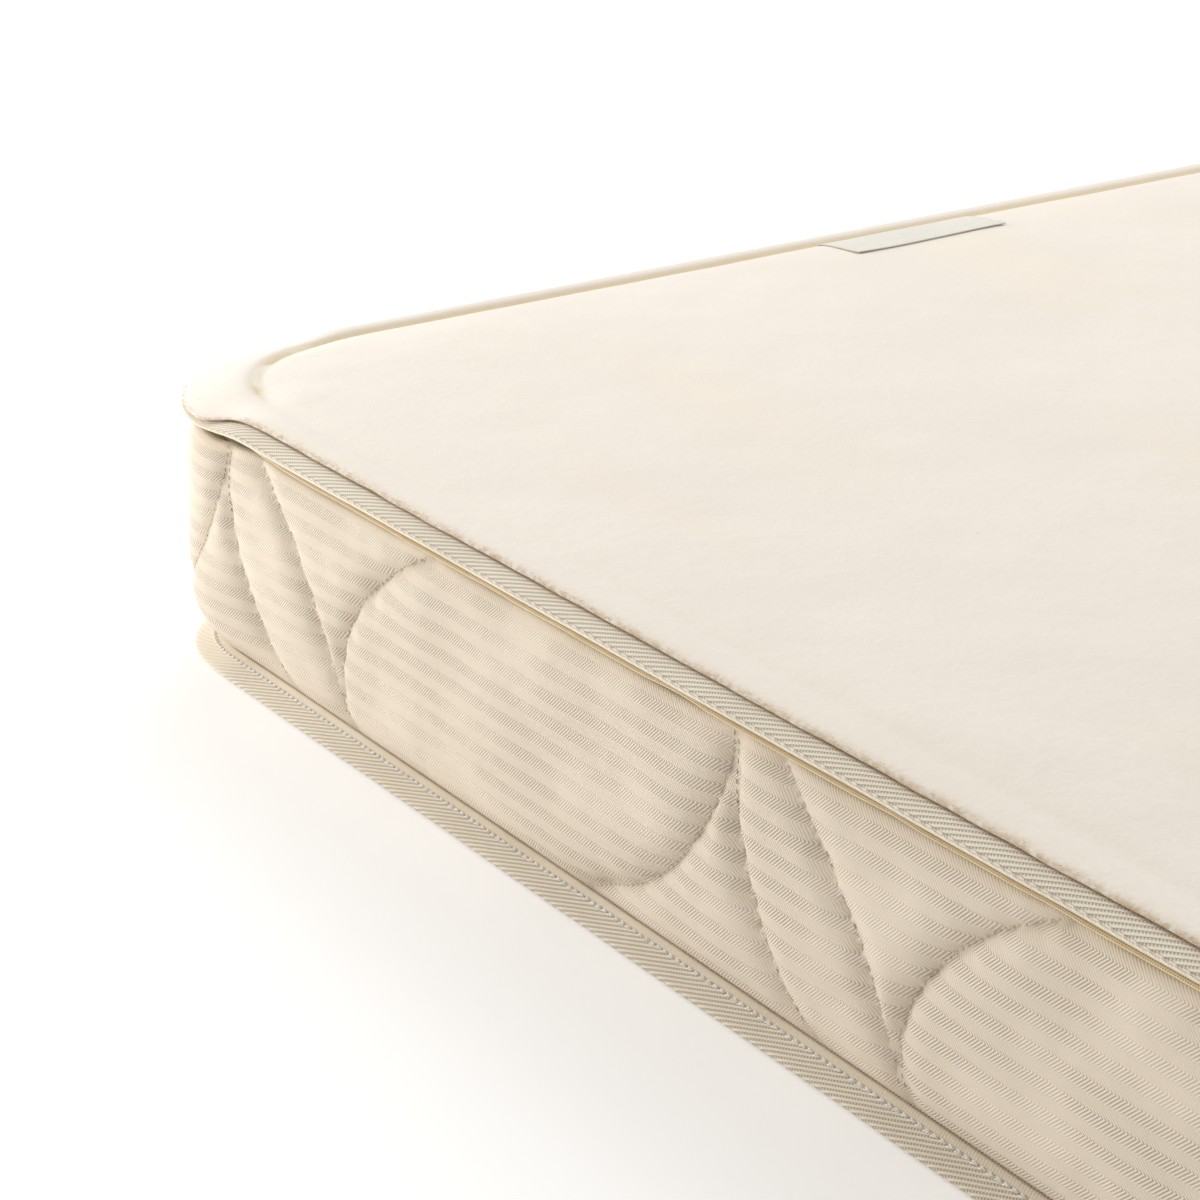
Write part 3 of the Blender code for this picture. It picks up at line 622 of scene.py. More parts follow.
def sweep(name: str, stations: Stations, insets: Array, levels: Array, finish: bpy.types.Material,
          rise: Optional[Array] = None, marks: Optional[Dict[str, Array]] = None, ends: bool = True) -> Piece:
    """Sweep a closed section round an outline.

    Args:
        name: The piece's name.
        stations: The outline's stations.
        insets: Inset of each section point, as (stations, section points).
        levels: Level of each section point, likewise.
        finish: Its material.
        rise: Texture rise of each section point, with one more for the closing edge.
        marks: Numbers for each point, as (stations, section points).
        ends: Whether an open sweep's ends are closed.

    Returns:
        The new object.
    """
    count, width = insets.shape
    points = np.stack([stations.place(insets[:, k], levels[:, k]) for k in range(width)], axis=1)
    points = points.reshape(-1, 3)
    rows = np.arange(count if stations.closed else count - 1)
    i, j = np.meshgrid(rows, np.arange(width), indexing="ij")
    following, beside = (i + 1) % count, (j + 1) % width
    quads = np.stack([i * width + j, following * width + j, following * width + beside,
                      i * width + beside], -1)
    quads = quads.reshape(-1, 4)
    runs = np.append(stations.run, stations.run[0] + stations.length)
    if rise is None:
        steps = np.hypot(np.diff(np.append(insets[0], insets[0, 0])),
                         np.diff(np.append(levels[0], levels[0, 0])))
        rise = np.concatenate([[0.0], np.cumsum(steps)])
    uv = np.stack([np.stack([runs[i], rise[j]], -1), np.stack([runs[i + 1], rise[j]], -1),
                   np.stack([runs[i + 1], rise[j + 1]], -1), np.stack([runs[i], rise[j + 1]], -1)], 2)
    uv = uv.reshape(-1, 4, 2)
    faces = quads
    if stations.closed and signed_volume(points, quads) < 0:
        faces, uv = quads[:, ::-1], uv[:, ::-1]
    flat_marks = {key: np.broadcast_to(value, (count, width)).ravel() for key, value in (marks or {}).items()}
    loops = list(faces)
    corners = uv.reshape(-1, 2)
    if not stations.closed and ends:
        first, last = np.arange(width), np.arange(width) + (count - 1) * width
        loops = loops + [first, last[::-1]]
        corners = np.vstack([corners, np.zeros((2 * width, 2))])
    piece = make_piece(name, points, loops, finish, corners, flat_marks)
    if not stations.closed:
        face_outward(piece)
    return piece


def face_outward(piece: Piece) -> None:
    """Turn a closed mesh's faces outward."""
    bpy.ops.object.select_all(action="DESELECT")
    bpy.context.view_layer.objects.active = piece
    piece.select_set(True)
    bpy.ops.object.mode_set(mode="EDIT")
    bpy.ops.mesh.select_all(action="SELECT")
    bpy.ops.mesh.normals_make_consistent(inside=False)
    bpy.ops.object.mode_set(mode="OBJECT")
    piece.select_set(False)


def folded(path: Sequence[Tuple[float, float]], cloth: float) -> Tuple[Array, Array]:
    """Give a cloth section its thickness.

    Args:
        path: Inset and level of the cloth's outer face, from one raw edge to the other.
        cloth: The cloth's thickness, laid to the inner side of the path.

    Returns:
        The closed section, and the distance along the path of each of its points and of its closing edge.
    """
    outer = np.array(path)
    steps = np.diff(outer, axis=0)
    steps = steps / np.linalg.norm(steps, axis=1)[:, None]
    tangent = np.vstack([steps[:1], (steps[:-1] + steps[1:]) / 2, steps[-1:]])
    tangent = tangent / np.linalg.norm(tangent, axis=1)[:, None]
    side = np.column_stack([-tangent[:, 1], tangent[:, 0]])
    inner = outer + side * cloth
    along = np.concatenate([[0.0], np.cumsum(np.linalg.norm(np.diff(outer, axis=0), axis=1))])
    return np.vstack([outer, inner[::-1]]), np.concatenate([along, along[::-1], along[:1]])


def rounded_path(points: Sequence[Tuple[float, float]], rounds: int = 2) -> Array:
    """Round an open path's corners by cutting them repeatedly, with its ends kept."""
    path = np.array(points, float)
    for _ in range(rounds):
        first, second = path[:-1] * 0.75 + path[1:] * 0.25, path[:-1] * 0.25 + path[1:] * 0.75
        cut = np.empty((2 * len(first), path.shape[1]))
        cut[0::2], cut[1::2] = first, second
        path = np.vstack([path[:1], cut[1:-1], path[-1:]])
    return path


def rolling(x: Array, y: Array, wave: float, seed: int, count: int = 14) -> Array:
    """Return a smooth, seeded relief of about -1..1 with hollows about wave metres apart."""
    random = np.random.default_rng(seed)
    relief = np.zeros(np.broadcast(x, y).shape)
    for _ in range(count):
        heading, phase = random.uniform(0.0, TURN, 2)
        size = TURN / (wave * random.uniform(0.6, 1.7))
        relief = relief + np.cos(size * (x * math.cos(heading) + y * math.sin(heading)) + phase)
    return relief / math.sqrt(count)


@dataclass
class Layer:
    """A flat layer with rounded corners: an edge section, a formed face and a flat back."""

    outline: Outline
    edge: Sequence[Tuple[float, float]]
    rings: Sequence[float]
    face: Callable[[Array, Array, Array], Array]
    step: float = 0.008
    corner_steps: int = 10
    edge_shift: Optional[Callable[[Stations], Array]] = None
    edge_fall: Optional[Callable[[Stations, float], Array]] = None
    shift_fade: float = 0.006
    cloth: float = 0.0
    marks: Dict[str, Callable[[Array, Array, Array], Array]] = field(default_factory=dict)

    def build(self, name: str, finish: bpy.types.Material, turned: bool = False) -> Piece:
        """Build the layer.

        Args:
            name: The piece's name.
            finish: Its material.
            turned: Whether the formed face looks down.

        Returns:
            The new object.
        """
        stations = self.outline.stations(self.step, self.corner_steps)
        count = len(stations.run)
        shift = self.edge_shift(stations) if self.edge_shift else np.zeros(count)
        fall = self.edge_fall or (lambda places, level: np.zeros(count))
        loops = [stations.place(inset + shift, level - fall(stations, level)) for inset, level in self.edge]
        depths = [np.full(count, inset) for inset, _ in self.edge]
        for inset in self.rings:
            real = inset + shift * math.exp((self.rings[0] - inset) / self.shift_fade)
            flat = stations.place(real, 0.0)
            flat[:, 2] = self.face(flat[:, 0], flat[:, 1], real)
            loops.append(flat)
            depths.append(np.full(count, inset))
        across = self.outline.half_length - self.outline.radius
        along = self.outline.half_width - self.outline.radius
        columns, rows = max(1, round(2 * across / self.step)), max(1, round(2 * along / self.step))
        x, y = np.meshgrid(np.linspace(-across, across, columns + 1), np.linspace(-along, along, rows + 1),
                           indexing="ij")
        depth = np.full(x.size, self.outline.radius)
        inner = np.column_stack([x.ravel(), y.ravel(), self.face(x.ravel(), y.ravel(), depth)])
        points = np.vstack(loops + [inner])
        depths_all = np.concatenate(depths + [depth])
        start = count * len(loops)
        column = np.rint((stations.centre[:, 0] + across) / (2 * across) * columns).astype(int)
        row = np.rint((stations.centre[:, 1] + along) / (2 * along) * rows).astype(int)
        nearest = start + column * (rows + 1) + row
        i = np.arange(count)
        following = (i + 1) % count
        faces: List[Sequence[int]] = []
        for ring in range(len(loops) - 1):
            low, high = ring * count, (ring + 1) * count
            faces += np.stack([low + i, low + following, high + following, high + i], -1).tolist()
        last = (len(loops) - 1) * count
        middle: List[List[int]] = []
        for here, there in zip(i, following):
            ends = [int(last + here), int(last + there), int(nearest[there]), int(nearest[here])]
            middle.append(ends[:3] if nearest[there] == nearest[here] else ends)
        a, b = np.meshgrid(np.arange(columns), np.arange(rows), indexing="ij")
        corner = (start + a * (rows + 1) + b).ravel()
        middle += np.stack([corner, corner + rows + 1, corner + rows + 2, corner + 1], -1).tolist()
        faces += middle
        if self.cloth:
            first = len(self.edge) * count
            drop = len(points) - first
            formed = [face for face in faces if min(face) >= first]
            points = np.vstack([points, points[first:] - np.array([0.0, 0.0, self.cloth])])
            depths_all = np.concatenate([depths_all, depths_all[first:]])
            faces += [[point + drop for point in reversed(face)] for face in formed]
            faces += np.stack([first + drop + i, first + drop + following, following, i], -1).tolist()
        else:
            faces.append(i[::-1].tolist())
        if turned:
            faces = [list(face)[::-1] for face in faces]
        flat_uv = points[:, :2]
        uv = flat_uv[np.concatenate([np.asarray(face) for face in faces])]
        marks = {mark: rule(points[:, 0], points[:, 1], depths_all) for mark, rule in self.marks.items()}
        return make_piece(name, points, faces, finish, uv, marks)


def join_up(piece: Piece, body: Body, slot: Slot, *nodes: str) -> Piece:
    """Ride a piece on its body and let it stand for its nodes.

    Args:
        piece: The finished piece.
        body: The body it moves with.
        slot: The record's material slot. Not used.
        nodes: The model's nodes that it replaces.

    Returns:
        The piece.
    """
    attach(piece, body.value)
    if nodes:
        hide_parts(*nodes)
    LOG.info("%s: %d faces on %s", piece.name, len(piece.data.polygons), body.value)
    return piece


def cloth_patch(name: str, face: Array, lift: Array, cloth: float, finish: bpy.types.Material) -> Piece:
    """Make a small closed patch of cloth.

    Args:
        name: The piece's name.
        face: Its outer face, as (rows, columns, 3).
        lift: The direction that its outer face looks in, as (rows, columns, 3) or one direction.
        cloth: Its thickness.
        finish: Its material.

    Returns:
        The new object.
    """
    rows, columns = face.shape[:2]
    back = face - np.broadcast_to(lift, face.shape) * cloth
    points = np.vstack([face.reshape(-1, 3), back.reshape(-1, 3)])
    a, b = np.meshgrid(np.arange(rows - 1), np.arange(columns - 1), indexing="ij")
    corner = (a * columns + b).ravel()
    front = np.stack([corner, corner + columns, corner + columns + 1, corner + 1], -1)
    edge = [k for k in range(columns)] + [k * columns + columns - 1 for k in range(1, rows)]
    edge += [(rows - 1) * columns + k for k in range(columns - 2, -1, -1)]
    edge += [k * columns for k in range(rows - 2, 0, -1)]
    size = rows * columns
    faces = front.tolist() + (front[:, ::-1] + size).tolist()
    faces += [[edge[k], edge[(k + 1) % len(edge)], edge[(k + 1) % len(edge)] + size, edge[k] + size]
              for k in range(len(edge))]
    run = np.linalg.norm(face[:, 0] - face[:1, 0], axis=-1)
    rise = np.linalg.norm(face[0] - face[0, :1], axis=-1)
    spread = np.stack(np.meshgrid(run, rise, indexing="ij"), -1).reshape(-1, 2)
    uv = np.vstack([spread, spread])[np.concatenate([np.asarray(ring) for ring in faces])]
    piece = make_piece(name, points, faces, finish, uv)
    face_outward(piece)
    return piece


def spikes(roots: Array, tips: Array, radius: float, sides: int = 3) -> Tuple[Array, List[List[int]]]:
    """Make closed tapered fibres from roots to tips."""
    axis = tips - roots
    axis = axis / np.linalg.norm(axis, axis=1)[:, None]
    first = np.cross(axis, np.array([0.31, 0.17, 0.93]))
    first = first / np.linalg.norm(first, axis=1)[:, None]
    second = np.cross(axis, first)
    rings = [roots + radius * (math.cos(TURN * k / sides) * first + math.sin(TURN * k / sides) * second)
             for k in range(sides)]
    points = np.stack(rings + [tips], axis=1).reshape(-1, 3)
    faces: List[List[int]] = []
    for number in range(len(roots)):
        start = number * (sides + 1)
        faces += [[start + k, start + (k + 1) % sides, start + sides] for k in range(sides)]
        faces.append([start + k for k in reversed(range(sides))])
    return points, faces


def stitches(starts: Array, ends: Array, lifts: Array, radius: float,
             arch: float) -> Tuple[Array, List[List[int]]]:
    """Make small closed thread dashes.

    Args:
        starts: Where each dash comes up.
        ends: Where each dash goes down.
        lifts: The direction each stands proud.
        radius: The thread's radius.
        arch: How far the middle of a dash stands proud.

    Returns:
        Their points and faces.
    """
    axis = ends - starts
    axis = axis / np.linalg.norm(axis, axis=1)[:, None]
    side = np.cross(axis, lifts)
    side = side / np.linalg.norm(side, axis=1)[:, None]
    columns = [starts - lifts * radius]
    for share, rise in ((0.22, 0.8), (0.78, 0.8)):
        middle = starts + (ends - starts) * share + lifts * arch * rise
        for across, up in ((1.0, 0.0), (0.0, 1.0), (-1.0, 0.0), (0.0, -1.0)):
            columns.append(middle + radius * (across * side + up * lifts))
    columns.append(ends - lifts * radius)
    points = np.stack(columns, axis=1).reshape(-1, 3)
    pattern: List[List[int]] = []
    for k in range(4):
        beside = (k + 1) % 4
        pattern += [[0, 1 + k, 1 + beside], [1 + k, 5 + k, 5 + beside, 1 + beside], [5 + k, 9, 5 + beside]]
    faces = [[start + corner for corner in face]
             for start in range(0, 10 * len(starts), 10) for face in pattern]
    return points, faces


# The cover's levels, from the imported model


@dataclass(frozen=True)
class Levels:
    """Levels and the plan outline that the pieces share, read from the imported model."""

    rim: Outline
    tape_top: float
    tape_bottom: float
    panel_top: float
    border_low: float
    border_high: float
    sag: float = 0.0052
    sag_depth: float = 0.034
    sag_reach: float = 0.032

    def corner_share(self, x: Array, y: Array) -> Array:
        """Return 1 in the corners, in plan, easing to 0 along the straight sides."""
        past = np.minimum(np.abs(x) - (self.rim.half_length - self.rim.radius),
                          np.abs(y) - (self.rim.half_width - self.rim.radius))
        share = np.clip(1.0 + past / self.sag_reach, 0.0, 1.0)
        return share * share * (3.0 - 2.0 * share)

    def sag_at(self, share: Array, depth: Array) -> Array:
        """Return how far the cover's face hangs, from the corner's share and the depth in from the rim."""
        return self.sag * share * np.clip(1.0 - depth / self.sag_depth, 0.0, 1.0) ** 2

    @classmethod
    def from_frame(cls, corner_radius: float = 0.058) -> "Levels":
        """Read the levels from the nodes' boxes."""
        low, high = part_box("top_edge_tape")
        border_low, border_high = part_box("border_ticking")
        return cls(Outline(high.x, high.y, corner_radius), high.z, low.z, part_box("top_panel")[1].z,
                   border_low.z, border_high.z)


@dataclass
class TopPanel:
    """The brushed sleeping face: a soft lip over the tape, a pressed crease and a gently rolling middle."""

    levels: Levels
    lip_inset: float = 0.0063
    lip_height: float = 0.0003
    lip_roll: float = 0.0016
    corner_reach: float = 0.0056
    crease_side_inset: float = 0.0210
    crease_end_inset: float = 0.0150
    crease_radius: float = 0.061
    crease_depth: float = 0.0025
    crease_width: float = 0.0011
    crease_slope: float = 0.0140
    valley_depth: float = 0.0009
    valley_width: float = 0.0042
    roll_height: float = 0.00035
    step: float = 0.0054
    cloth: float = 0.0014
    fibre_count: int = 15000
    fibre_radius: float = 0.00007

    def crease_gap(self, x: Array, y: Array) -> Tuple[Array, Array]:
        """Return the distance from the crease, negative inside it, and how far it faces an end."""
        rim = self.levels.rim
        half = np.array([rim.half_length - self.crease_end_inset, rim.half_width - self.crease_side_inset])
        ahead = np.abs(x) - (half[0] - self.crease_radius)
        aside = np.abs(y) - (half[1] - self.crease_radius)
        out = np.hypot(np.maximum(ahead, 0.0), np.maximum(aside, 0.0))
        gap = out + np.minimum(np.maximum(ahead, aside), 0.0) - self.crease_radius
        facing = np.clip(np.where(out > 1e-6, np.maximum(ahead, 0.0) / np.maximum(out, 1e-6), ahead > aside),
                         0, 1)
        return gap, np.clip((facing - 0.02) / 0.36, 0.0, 1.0)

    def height(self, x: Array, y: Array, depth: Array) -> Array:
        """Return the level of the sleeping face."""
        start = self.levels.tape_top + self.lip_height + self.lip_roll
        crown = self.levels.panel_top - start
        rise = start + crown * (1.0 - np.exp(-np.maximum(depth - self.lip_inset, 0.0) / 0.020))
        gap, crisp = self.crease_gap(x, y)
        inside = 0.3 * np.exp(np.minimum(gap, 0.0) / self.crease_width)
        inside = inside + 0.7 * np.exp(np.minimum(gap, 0.0) / self.crease_slope)
        sharp = self.crease_depth * inside * np.exp(-np.maximum(gap, 0.0) / self.crease_width)
        soft = self.valley_depth * np.exp(-(gap / self.valley_width) ** 2)
        fade = np.clip((depth - self.lip_inset) / 0.030, 0.0, 1.0)
        waves = rolling(x, y, 0.150, 4) + 0.45 * rolling(x, y, 0.050, 9)
        level = rise - crisp * sharp - (1.0 - 0.65 * crisp) * soft + self.roll_height * fade * (waves - 1.0)
        return level - self.levels.sag_at(self.levels.corner_share(x, y), depth)

    def lip_shift(self, stations: Stations) -> Array:
        """Return how far the lip moves: out over the tape at the corners, and unevenly elsewhere."""
        uneven = 0.00022 * rolling(stations.run, 0.0 * stations.run, 0.030, 5)
        return uneven - self.corner_reach * stations.corner_share(0.016)

    def lip_fall(self, stations: Stations, level: float) -> Array:
        """Return how far one line of the lip hangs at the corners. The part tucked under it hangs less."""
        share = stations.corner_share(self.levels.sag_reach)
        tucked = min(level - self.levels.tape_top - self.lip_height, 0.0)
        return self.levels.sag_at(share, self.lip_inset - self.corner_reach * share) + 0.7 * tucked * share

    def build(self, finish: bpy.types.Material) -> Piece:
        """Build the panel."""
        top = self.levels.tape_top
        inset, nose = self.lip_inset, top + self.lip_height
        edge = [(inset + 0.0030, top - 0.0026), (inset + 0.0030, top + 0.0001),
                (inset + 0.0012, top + 0.0001), (inset + 0.0003, nose - 0.0003), (inset, nose + 0.0002),
                (inset + 0.0003, nose + 0.0009), (inset + 0.0011, nose + 0.0014)]
        rings = [inset + 0.0024 + 0.0011 * k for k in range(16)] + [0.0285 + 0.0019 * k for k in range(15)]
        # Point marks for painted colour: painted shade in the pressed crease, and along the lip browner
        # fibres with painted shade where it meets the tape.
        tints = {"crease": self.crease_shade_mark,
                 "lip": lambda x, y, depth: np.exp(-np.maximum(depth - inset, 0.0) / 0.0011)
                 * (1.0 - 0.8 * self.levels.corner_share(x, y))}
        layer = Layer(self.levels.rim, edge, rings, self.height, self.step, 24, self.lip_shift, self.lip_fall,
                      cloth=self.cloth, marks=tints)
        return layer.build("top_panel_cloth", finish)

    def crease_shade_mark(self, x: Array, y: Array, depth: Array) -> Array:
        """Return 1 in the pressed crease, 0 away from it: the mask for the cloth's painted shade there."""
        gap, crisp = self.crease_gap(x, y)
        return crisp * np.exp(-(gap / 0.0013) ** 2) * (depth > self.lip_inset + 0.002)

    def build_fringe(self, finish: bpy.types.Material) -> Piece:
        """Build the loose fibres along the lip."""
        random = np.random.default_rng(21)
        stations = self.levels.rim.stations(0.0012, 72)
        pick = random.integers(0, len(stations.run), self.fibre_count)
        shift = self.lip_shift(stations)[pick]
        centre, outward = stations.centre[pick], stations.outward[pick]
        tangent = np.column_stack([-outward[:, 1], outward[:, 0]])
        drop = random.uniform(-0.2, 1.0, self.fibre_count)
        inset = self.lip_inset + shift + 0.0003 + 0.0012 * np.maximum(drop, 0.0) ** 2
        hang = self.lip_fall(stations, self.levels.panel_top)[pick]
        level = self.levels.tape_top + self.lip_height + 0.0002 + 0.0011 * drop - hang
        slide = random.uniform(-0.5, 0.5, self.fibre_count) * 0.0012
        flat = centre + outward * (self.levels.rim.radius - inset)[:, None] + tangent * slide[:, None]
        roots = np.column_stack([flat, level])
        length = random.uniform(0.0006, 0.0022, self.fibre_count)[:, None]
        lean = random.normal(0.0, 0.6, (self.fibre_count, 3))
        heading = np.column_stack([outward * 0.8, 0.25 + 0.5 * drop - 0.45]) + lean * 0.6
        heading = heading / np.linalg.norm(heading, axis=1)[:, None]
        points, faces = spikes(roots, roots + heading * length, self.fibre_radius)
        return make_piece("lip_fibres", points, faces, finish, smooth=False)


@dataclass
class EdgeTape:
    """One folded binding tape, swept round the rim."""

    levels: Levels
    cloth: float = 0.0007
    step: float = 0.0060
    corner_steps: int = 26
    slack: float = 0.00025
    hang: float = 0.0
    flatten: float = 0.0
    bare: float = 0.0
    smooth_from: float = 1.0

    def build(self, name: str, path: Sequence[Tuple[float, float]], fold_at: Tuple[float, float],
              finish: bpy.types.Material, shadow: Tuple[float, float]) -> Piece:
        """Sweep the tape.

        Args:
            name: The piece's name.
            path: Inset and level of the tape's outer face, from its top raw edge to its lower one.
            fold_at: Inset and level of the fold, where the weave turns.
            finish: Its material.
            shadow: Insets between which the upper face darkens towards its seam.

        Returns:
            The new object.
        """
        smooth = rounded_path(path)
        section, along = folded(smooth, self.cloth)
        fold = along[np.argmin(np.hypot(*(smooth - np.array(fold_at)).T))]
        stations = self.levels.rim.stations(self.step, self.corner_steps)
        count = len(stations.run)
        sway = rolling(stations.run, 0.0 * stations.run, 0.055, 12)[:, None] * self.slack
        outer = np.clip(1.0 - section[None, :, 0] / 0.006, 0.0, 1.0)
        insets = section[None, :, 0] + np.abs(sway) * outer
        share = stations.corner_share(self.levels.sag_reach)[:, None]
        height = section[None, :, 1] - section[:, 1].min()
        levels = section[None, :, 1] - share * (self.hang + self.flatten * height)
        upper = (np.arange(len(section)) < len(smooth)) & (section[:, 1] > fold_at[1])
        # Painted shade: the upper face darkens towards its seam between the shadow insets.
        dark = np.clip((section[:, 0] - shadow[0]) / (shadow[1] - shadow[0]), 0.0, 1.0) * upper
        smoothed = (upper & (section[:, 0] > self.smooth_from)).astype(float)
        marks = {"plain": np.maximum(self.bare * stations.corner_share(0.022)[:, None], smoothed[None, :]),
                 "seam": np.repeat(dark[None, :], count, axis=0)}
        return sweep(name, stations, insets, levels, finish, fold - along, marks)

    def build_chain(self, name: str, path: Sequence[Tuple[float, float]], inset: float,
                    finish: bpy.types.Material) -> Piece:
        """Build a row of chain stitches along the tape's upper face, two slanting threads for each link."""
        smooth = rounded_path(path)
        upper = smooth[:int(np.argmin(smooth[:, 0]))][::-1]
        link, spread, radius = 0.0031, 0.00050, 0.00029
        stations = self.levels.rim.stations(link, 30)
        count = len(stations.run)
        height = np.interp([inset - spread, inset, inset + spread], upper[:, 0], upper[:, 1]) + 0.00015
        rows = [stations.place(inset + spread * side, height[1 + side]) for side in (-1, 0, 1)]
        following = (np.arange(count) + 1) % count
        starts = np.vstack([rows[0], rows[2]])
        ends = np.vstack([rows[1][following], rows[1][following]])
        points, faces = stitches(starts, ends, np.tile([0.0, 0.0, 1.0], (2 * count, 1)), radius, 0.0002)
        return make_piece(name, points, faces, finish)


@dataclass
class Border:
    """The quilted side: herringbone ticking sewn to wadding in long leaves and rounded petals."""

    levels: Levels
    seam_inset: float = 0.0128
    puff: float = 0.0051
    relief_width: float = 0.0135
    pucker: float = 0.00045
    repeats: int = 14
    drawn_repeat: float = 0.2913
    lowest_stitch: float = 0.0082
    highest_stitch: float = 0.0885
    face_foot: float = 0.0075
    step: float = 0.0026
    corner_steps: int = 34
    stitch_pitch: float = 0.0029
    stitch_length: float = 0.0019
    thread_radius: float = 0.00018
    shoulder_fall: float = 0.0024
    corner_bulge: float = 0.0016
    low_bulge: float = 0.0022
    cloth: float = 0.0009
    back_every: int = 4
    wadding_gap: float = 0.0003
    wadding_back: float = 0.0136

    def pattern(self) -> List[Array]:
        """Return the sewn lines of one repeat, as run and level: two petal sides and two leaf lines."""
        lines = [
            [(208, 93), (178, 77), (156, 57), (142, 34), (141, 13), (148, -2)],
            [(359, 94), (357, 74), (347, 54), (332, 35), (313, 20), (292, 12), (270, -2)],
            [(69, 92), (69, 74), (72, 56), (79, 38), (89, 22), (103, 6), (111, -2)],
            [(82, 95), (99, 80), (117, 60), (129, 42), (137, 23), (143, -2)],
        ]
        return [rounded_path(np.array(line, float) * MM, 4) for line in lines]

    def sewn(self, stations: Stations) -> List[Array]:
        """Return every sewn line of the whole border, as evenly spaced run and level."""
        period = stations.length / self.repeats
        found = []
        for number in range(-self.repeats, self.repeats + 1):
            for line in self.pattern():
                moved = line * np.array([period / self.drawn_repeat, 1.0]) + np.array([number * period, 0.0])
                place = moved[:, 0].mean() - stations.run[0]
                if -period <= place <= stations.length + period:
                    found.append(self.respaced(moved, 0.0007))
        return found

    @staticmethod
    def respaced(line: Array, step: float) -> Array:
        """Return a line's points respaced to an even step."""
        along = np.concatenate([[0.0], np.cumsum(np.linalg.norm(np.diff(line, axis=0), axis=1))])
        at = np.arange(0.0, along[-1], step)
        return np.column_stack([np.interp(at, along, line[:, k]) for k in range(2)])

    def section(self) -> Array:
        """Return the unquilted outer face, as inset and level, from the lower seam to the upper one."""
        low, high, inset = self.levels.border_low, self.levels.border_high, self.seam_inset
        points = [(inset, low + 0.0002), (inset - 0.0008, low + 0.0026), (0.0080, 0.0088), (0.0046, 0.0170),
                  (0.0030, 0.0300), (0.0026, 0.0460), (0.0026, 0.0640), (0.0030, 0.0770), (0.0042, 0.0860),
                  (0.0062, 0.0905), (0.0080, 0.0898), (0.0092, 0.0860), (inset, high - 0.0003)]
        path = rounded_path(points, 3)
        along = np.concatenate([[0.0], np.cumsum(np.linalg.norm(np.diff(path, axis=0), axis=1))])
        at = np.linspace(0.0, along[-1], round(along[-1] / self.step) + 1)
        return np.column_stack([np.interp(at, along, path[:, k]) for k in range(2)] + [at])

    def relief(self, gap: Array, run: Array, level: Array) -> Array:
        """Return how far the ticking sinks below its fullest, from the distance to the nearest sewn line."""
        near = np.sqrt(gap ** 2 + 0.0005 ** 2) - 0.0005
        share = np.clip(near / self.relief_width, 0.0, 1.0)
        sink = self.puff * (1.0 - np.sqrt(1.0 - (1.0 - share) ** 2))
        pucker = rolling(run, level, 0.011, 31) * self.pucker * np.exp(-near / 0.006) * (share > 0.02)
        swell = rolling(run, level, 0.045, 8) * 0.00045
        return sink + pucker + swell

    def form(self, stations: Stations) -> Tuple[Array, Array, Array, Array]:
        """Form the ticking's outer face.

        Args:
            stations: The outline's stations.

        Returns:
            Insets, levels and distances to the sewn lines, as (stations, section points), and the
            section's rise.
        """
        path = self.section()
        count, width = len(stations.run), len(path)
        tangent = np.gradient(path[:, :2], axis=0)
        tangent = tangent / np.linalg.norm(tangent, axis=1)[:, None]
        normal = np.column_stack([-tangent[:, 1], tangent[:, 0]])
        normal = normal * np.where(normal[:, :1] > 0, 1.0, -1.0)
        lines = self.sewn(stations)
        tree = KDTree(sum(len(line) for line in lines))
        number = 0
        for line in lines:
            for run, level in line:
                tree.insert((run, level, 0.0), number)
                number += 1
        tree.balance()
        gaps = np.empty((count, width))
        for i, run in enumerate(stations.run):
            for j, level in enumerate(path[:, 1]):
                gaps[i, j] = tree.find((run, level, 0.0))[2]
        rise = path[:, 2]
        ends = np.minimum(rise, rise[-1] - rise)
        hold = 1.0 - np.exp(-np.maximum(ends - 0.004, 0.0) / 0.007)
        upright = np.clip(normal[:, 0] * 1.6, 0.0, 1.0)
        share = stations.corner_share(self.levels.sag_reach)[:, None]
        sink = self.relief(gaps, stations.run[:, None], path[None, :, 1]) * (hold * upright)[None, :]
        sink = sink * (1.0 - 0.35 * share)
        bulge = self.corner_bulge + self.low_bulge * np.exp(-((path[:, 1] - 0.026) / 0.017) ** 2)
        fall = self.shoulder_fall * share * np.clip((path[None, :, 1] - 0.066) / 0.0245, 0.0, 1.0)
        insets = path[None, :, 0] + sink * normal[None, :, 0] - share * (bulge * hold * upright)[None, :]
        return insets, path[None, :, 1] + sink * normal[None, :, 1] - fall, gaps, rise

    def build(self, finish: bpy.types.Material, filling: bpy.types.Material) -> Tuple[Piece, Piece]:
        """Build the ticking as a quilted cloth, and the wadding behind it.

        Args:
            finish: The ticking's material.
            filling: The wadding's material.

        Returns:
            The ticking and the wadding.
        """
        stations = self.levels.rim.stations(self.step, self.corner_steps)
        insets, levels, gaps, rise = self.form(stations)
        count, width = insets.shape
        rows = np.arange(0, width, self.back_every)
        rows[-1] = width - 1
        reach = self.back_every
        deepest = np.stack([insets[:, max(0, row - reach):row + reach + 1].max(axis=1) for row in rows],
                           axis=1)
        back = deepest[:, ::-1] + self.cloth
